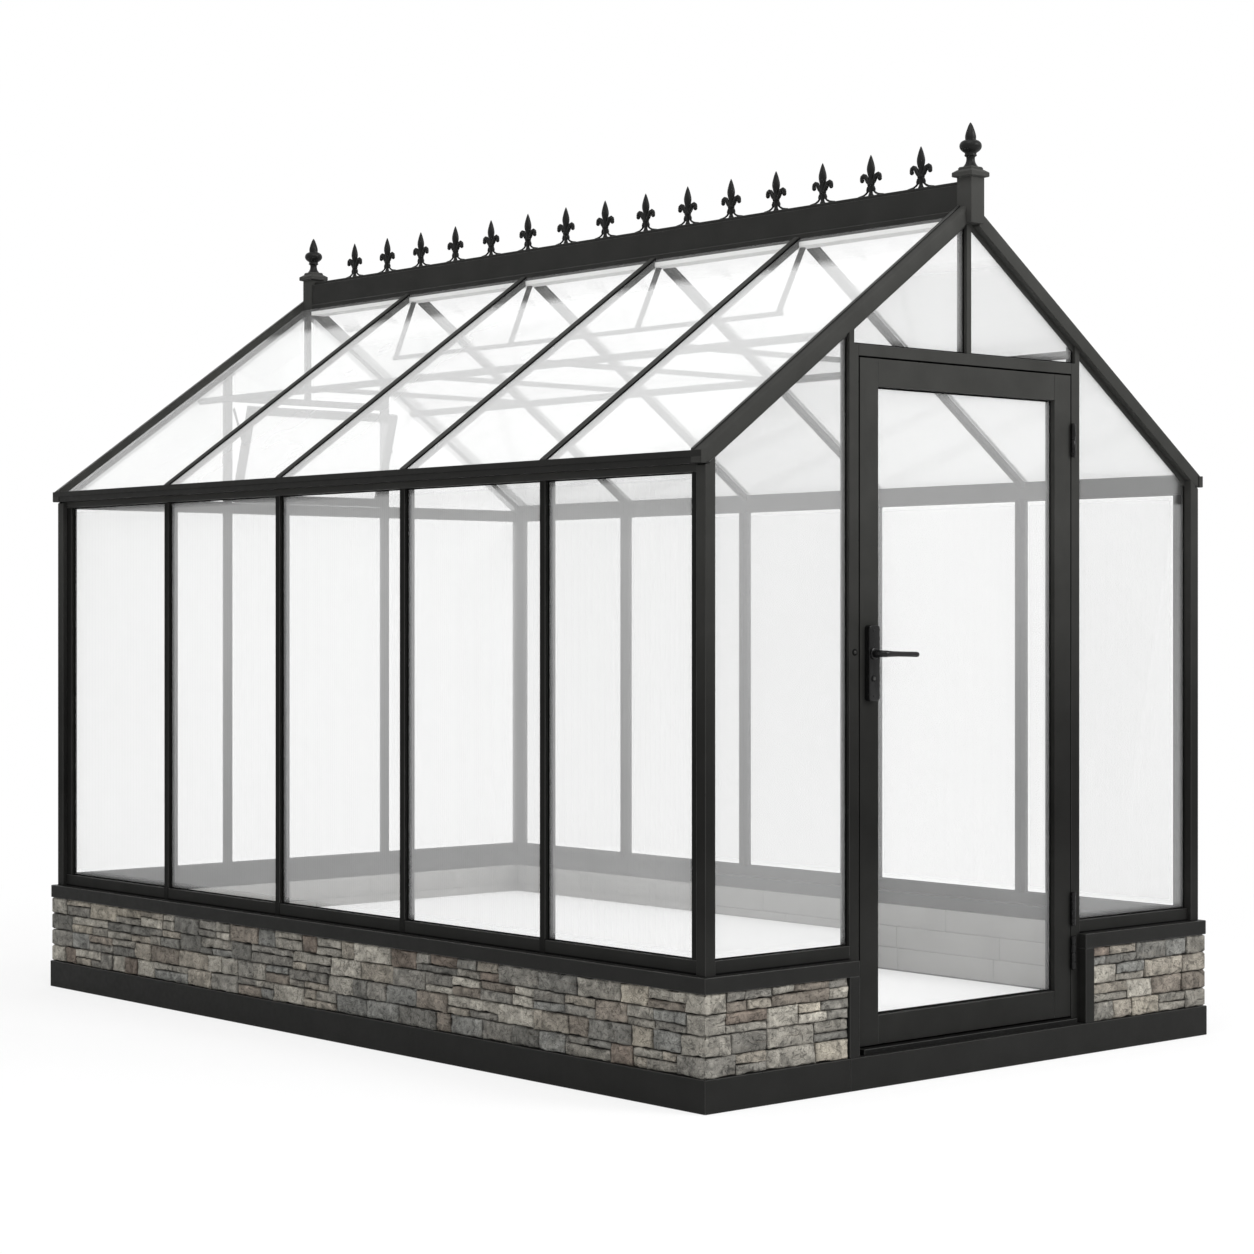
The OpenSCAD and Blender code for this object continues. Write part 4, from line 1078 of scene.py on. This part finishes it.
# Handle plates: long cast plates with rounded ends on both faces of the leaf, each with a boss
# round the spindle, a key cylinder with a dulled steel core and two domed screws. A screw on a
# washer sits in the jamb beside them. Profiles in millimetres: radius and height.
steel = coated_metal("dulled_steel", (0.055, 0.055, 0.053), (0.11, 0.11, 0.107), 0.5, (0.28, 0.42),
                     700.0, 0.00008)
feed(steel.node_tree.nodes["Principled BSDF"], Metallic=1.0)
PLATE_ROUND = 0.010
PLATE_THICK = 0.0185
PLATE_SHIFT = Vector((0.0035, 0, 0.008))
KEY_DROP = 0.069
KEYHOLE = 0.0045
SCREW_IN = 0.014
BOSS = [(7.2, 0), (16.8, 0), (16.8, 3), (16.0, 5.2), (13.8, 6.2), (7.2, 6.2), (7.2, 0)]
CYLINDER = [(0, -2), (8.8, -2), (8.8, 2.6), (8.0, 3.6), (6.2, 3.6), (5.8, 2.8), (0, 2.8)]
CORE_FACE = [(0, 1), (5.0, 1), (5.0, 3.3), (4.4, 3.9), (0, 3.9)]
SCREW = [(0, -1), (3.6, -1), (3.6, 0.4), (2.8, 1.4), (1.4, 1.9), (0, 2.0)]
WASHER = [(0, -1), (9.5, -1), (9.5, 0.7), (8.6, 1.3), (0, 1.3)]
DOME = [(0, 0.5), (4.8, 0.5), (4.8, 2.2), (4.2, 3.4), (2.6, 4.3), (0, 4.7)]
spindle = Vector((-0.412, 0, 1.195))
bm = bmesh.new()
for low, high in solid_boxes("handle_plates"):
    out = -1 if low.y < leaf_low.y else 1
    seat = leaf_low.y if out < 0 else leaf_high.y
    face_y = seat + out * PLATE_THICK
    low, high = low + PLATE_SHIFT, high + PLATE_SHIFT
    plate = bmesh.new()
    add_bar(plate, (low.x, min(seat, face_y), low.z), (high.x, max(seat, face_y), high.z))
    rounded(plate, [e for e in plate.edges if abs((e.verts[0].co - e.verts[1].co).y) > 0.001], PLATE_ROUND, 7)
    rounded(plate, [e for e in plate.edges if all(abs(v.co.y - face_y) < MERGE for v in e.verts)], 0.0022, 3)
    join(bm, plate)
    key_z = spindle.z - KEY_DROP
    for profile, height, slot in ((BOSS, spindle.z, 0), (CYLINDER, key_z, 0), (CORE_FACE, key_z, 1),
                                  (SCREW, high.z - SCREW_IN, 0), (SCREW, low.z + SCREW_IN, 0)):
        seat_at = Matrix.Translation((spindle.x, face_y, height)) @ Matrix.Rotation(math.pi / 2 * -out, 4, "X")
        join(bm, turned(profile, 28), seat_at, slot)
    eased_bars(bm, [((spindle.x - 0.0008, face_y + out * 0.0030, key_z - KEYHOLE),
                     (spindle.x + 0.0008, face_y + out * 0.0041, key_z + KEYHOLE))], 0.0001)
finish("handle_plates_cast", bm, [fitting_coat, steel], ["handle_plates"], 0.6, "door")

bm = bmesh.new()
screw_at = Matrix.Translation((0.002 - (jamb_in + jamb_out) / 2, leaf_low.y, spindle.z + 0.004))
for slot, profile in enumerate((WASHER, DOME)):
    join(bm, turned(profile, 24), screw_at @ Matrix.Rotation(math.pi / 2, 4, "X"), slot)
finish("jamb_screw", bm, [rubber, coating_edge], (), 0.6)


# Lever: one bent grip of satin black steel on each side of the door, thick at the neck, with
# a round tip, joined by the spindle through the leaf.
lever_low, lever_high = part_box("lever")
GRIP_HALF = 0.008
NECK_FROM = 0.0068
# Along the neck, out from the plate's boss, and round the bend to the tip: millimetres along the
# door, back from the grip's line, down, and radius.
NECK = [(-0.2, 5.2), (0, 10.8), (4, 11.6), (9, 11.0), (13.5, 10.2)]
GRIP = [(0.4, 10.5, 0, 9.8), (2.2, 6.0, 0, 9.6), (5.6, 2.6, 0, 9.5), (10.5, 0.7, 0, 9.3), (18, 0, 0.2, 8.9),
        (34, 0, 0.5, 8.0), (58, 0, 1.0, 7.4), (90, 0, 1.8, 7.2), (118, 0, 2.5, 7.5), (130, 0, 2.8, 7.7),
        (135.2, 0, 2.9, 6.9), (138.2, 0, 3.0, 5.1), (139.6, 0, 3.0, 2.4)]


def grip_axes(ahead):
    """Ring directions that keep the grip's section upright."""
    across = ahead.cross(UP).normalized()
    return across, across.cross(ahead)


bm = bmesh.new()
for out, seat, reach in ((-1, leaf_low.y, lever_low.y + GRIP_HALF), (1, leaf_high.y, lever_high.y - GRIP_HALF)):
    x, z = spindle.x, spindle.z
    base = seat + out * (PLATE_THICK + NECK_FROM)
    path = [((x, seat - out * 0.010, z), 0.0050)]
    path += [((x, base + out * up / 1000, z), radius / 1000) for up, radius in NECK]
    path += [((x + far / 1000, reach - out * back / 1000, z - down / 1000), radius / 1000)
             for far, back, down, radius in GRIP]
    swept_rod(bm, path, 20, grip_axes)
finish("bent_lever", bm, [fitting_coat], ["lever"], 0.7, "lever")


# Vent stays: two flat stays of coated bar, pinned to the rear gable and to the sides of the
# vent sash, hold the sash at its inward lean.
sash_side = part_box("vent_sash")[1].x
LEAN = math.radians(17)
SASH_FOOT = Vector((0, 1.635, 1.7145))
STAY_UP = 0.22
STAY_PIN = Vector((0, 1.634, 2.055))
STAY_HALF, STAY_THIN = 0.006, 0.0015
bm = bmesh.new()
for side in (-1, 1):
    shift = Vector((side * (sash_side - LAP), 0, 0))
    lower = SASH_FOOT + shift + STAY_UP * Vector((0, -math.sin(LEAN), math.cos(LEAN)))
    along = STAY_PIN + shift - lower
    stay = bmesh.new()
    eased_bars(stay, [((-STAY_THIN, -STAY_HALF, -STAY_HALF),
                       (STAY_THIN, STAY_HALF, along.length + STAY_HALF))], 0.0006)
    join(bm, stay, Matrix.Translation(lower) @ UP.rotation_difference(along).to_matrix().to_4x4())
finish("vent_stays", bm, [coating])


# Studio: a pale floor that keeps the shadow, a white background for what the camera and
# the glass see, plain soft light, and the camera at the place the photograph was taken.
def stage_floor(name, bm, near, far):
    """A white floor whose shadowless share grows from near, at the building, to far."""
    mesh = bpy.data.meshes.new(name)
    bm.to_mesh(mesh)
    bm.free()
    floor = bpy.data.objects.new(name, mesh)
    bpy.context.scene.collection.objects.link(floor)
    material, tree, shader = blank_material(name)
    feed(shader, Base_Color=(0.90, 0.90, 0.90), Roughness=0.9, Specular_IOR_Level=0.1)
    path = wire(tree, "LightPath").outputs
    seen = reckon(tree, "MAXIMUM", path["Is Camera Ray"], path["Is Transmission Ray"])
    reach = wire(tree, "VectorMath", {"operation": "LENGTH"}, i0=wire(tree, "TexCoord")).outputs["Value"]
    outside = remap(tree, reach, near, far, 1.6, 5.0)
    outside.interpolation_type = "SMOOTHSTEP"
    white = wire(tree, "Emission", Color=(1, 1, 1), Strength=1.0)
    surface = wire(tree, "MixShader", Fac=reckon(tree, "MULTIPLY", seen, outside), i1=shader, i2=white)
    feed(tree.nodes["Material Output"], Surface=surface)
    mesh.materials.append(material)


bm = bmesh.new()
bmesh.ops.create_grid(bm, x_segments=1, y_segments=1, size=60.0, matrix=Matrix.Translation((0, 0, -0.001)))
stage_floor("pale_floor", bm, 0.74, 1.0)
# Inside, the floor lies at the threshold's level by the door and higher along the walls.
room = Vector((inner_w - 0.001, inner_l - 0.001, 0))
DOOR_LEVEL = 0.086
RAISED_FROM, RAISED_LEVEL = 0.08, 0.208
RAISED_X, RAISED_Y = -0.398, -0.280
bm = bmesh.new()
add_bar(bm, -room, room + UP * DOOR_LEVEL)
for vert in add_bar(bm, UP * RAISED_FROM - room, room + UP * RAISED_LEVEL):
    if vert.co.y < 0 and vert.co.x > 0:
        vert.co.y = RAISED_Y
    elif vert.co.y < 0:
        vert.co.x, vert.co.y = RAISED_X, -room.y
add_bar(bm, UP * RAISED_FROM - room, (RAISED_X, room.y, RAISED_LEVEL - 0.0001))
stage_floor("inner_floor", bm, 0.38, 0.38)

world = bpy.data.worlds.new("white_studio")
bpy.context.scene.world = world
world.use_nodes = True
tree = world.node_tree
path = wire(tree, "LightPath").outputs
seen = reckon(tree, "MAXIMUM", path["Is Camera Ray"], path["Is Glossy Ray"])
seen = reckon(tree, "MAXIMUM", seen, path["Is Transmission Ray"])
feed(tree.nodes["Background"], Color=(1, 1, 1), Strength=remap(tree, seen, 0.74, 1.0))


def soft_light(name, place, aim, size, power):
    """A round soft lamp at a place, turned to a point."""
    lamp = bpy.data.lights.new(name, "AREA")
    lamp.shape = "DISK"
    lamp.size = size
    lamp.energy = power
    light = bpy.data.objects.new(name, lamp)
    bpy.context.scene.collection.objects.link(light)
    light.location = place
    light.rotation_euler = (Vector(aim) - Vector(place)).to_track_quat("-Z", "Y").to_euler()


soft_light("key", (3.6, -9.8, 6.8), (0, -1.2, 1.4), 5.0, 650)
soft_light("top", (-3.0, -3.2, 8.3), (-0.5, -0.6, 1.2), 5.0, 250)

CAMERA_PLACE = (-5.9897, -7.0006, 1.2981)
CAMERA_TURN = 0.7200
FOCAL_PIXELS = 2784.8
FRAME_PIXELS = 1254
HORIZON_RISE = 10.73
lens = bpy.data.cameras.new("camera")
lens.sensor_width = 36.0
lens.lens = FOCAL_PIXELS / FRAME_PIXELS * lens.sensor_width
lens.shift_y = -HORIZON_RISE / FRAME_PIXELS
camera = bpy.data.objects.new("camera", lens)
bpy.context.scene.collection.objects.link(camera)
camera.location = CAMERA_PLACE
camera.rotation_euler = (math.pi / 2, 0, -CAMERA_TURN)
bpy.context.scene.camera = camera
bpy.context.scene.view_settings.view_transform = "Standard"
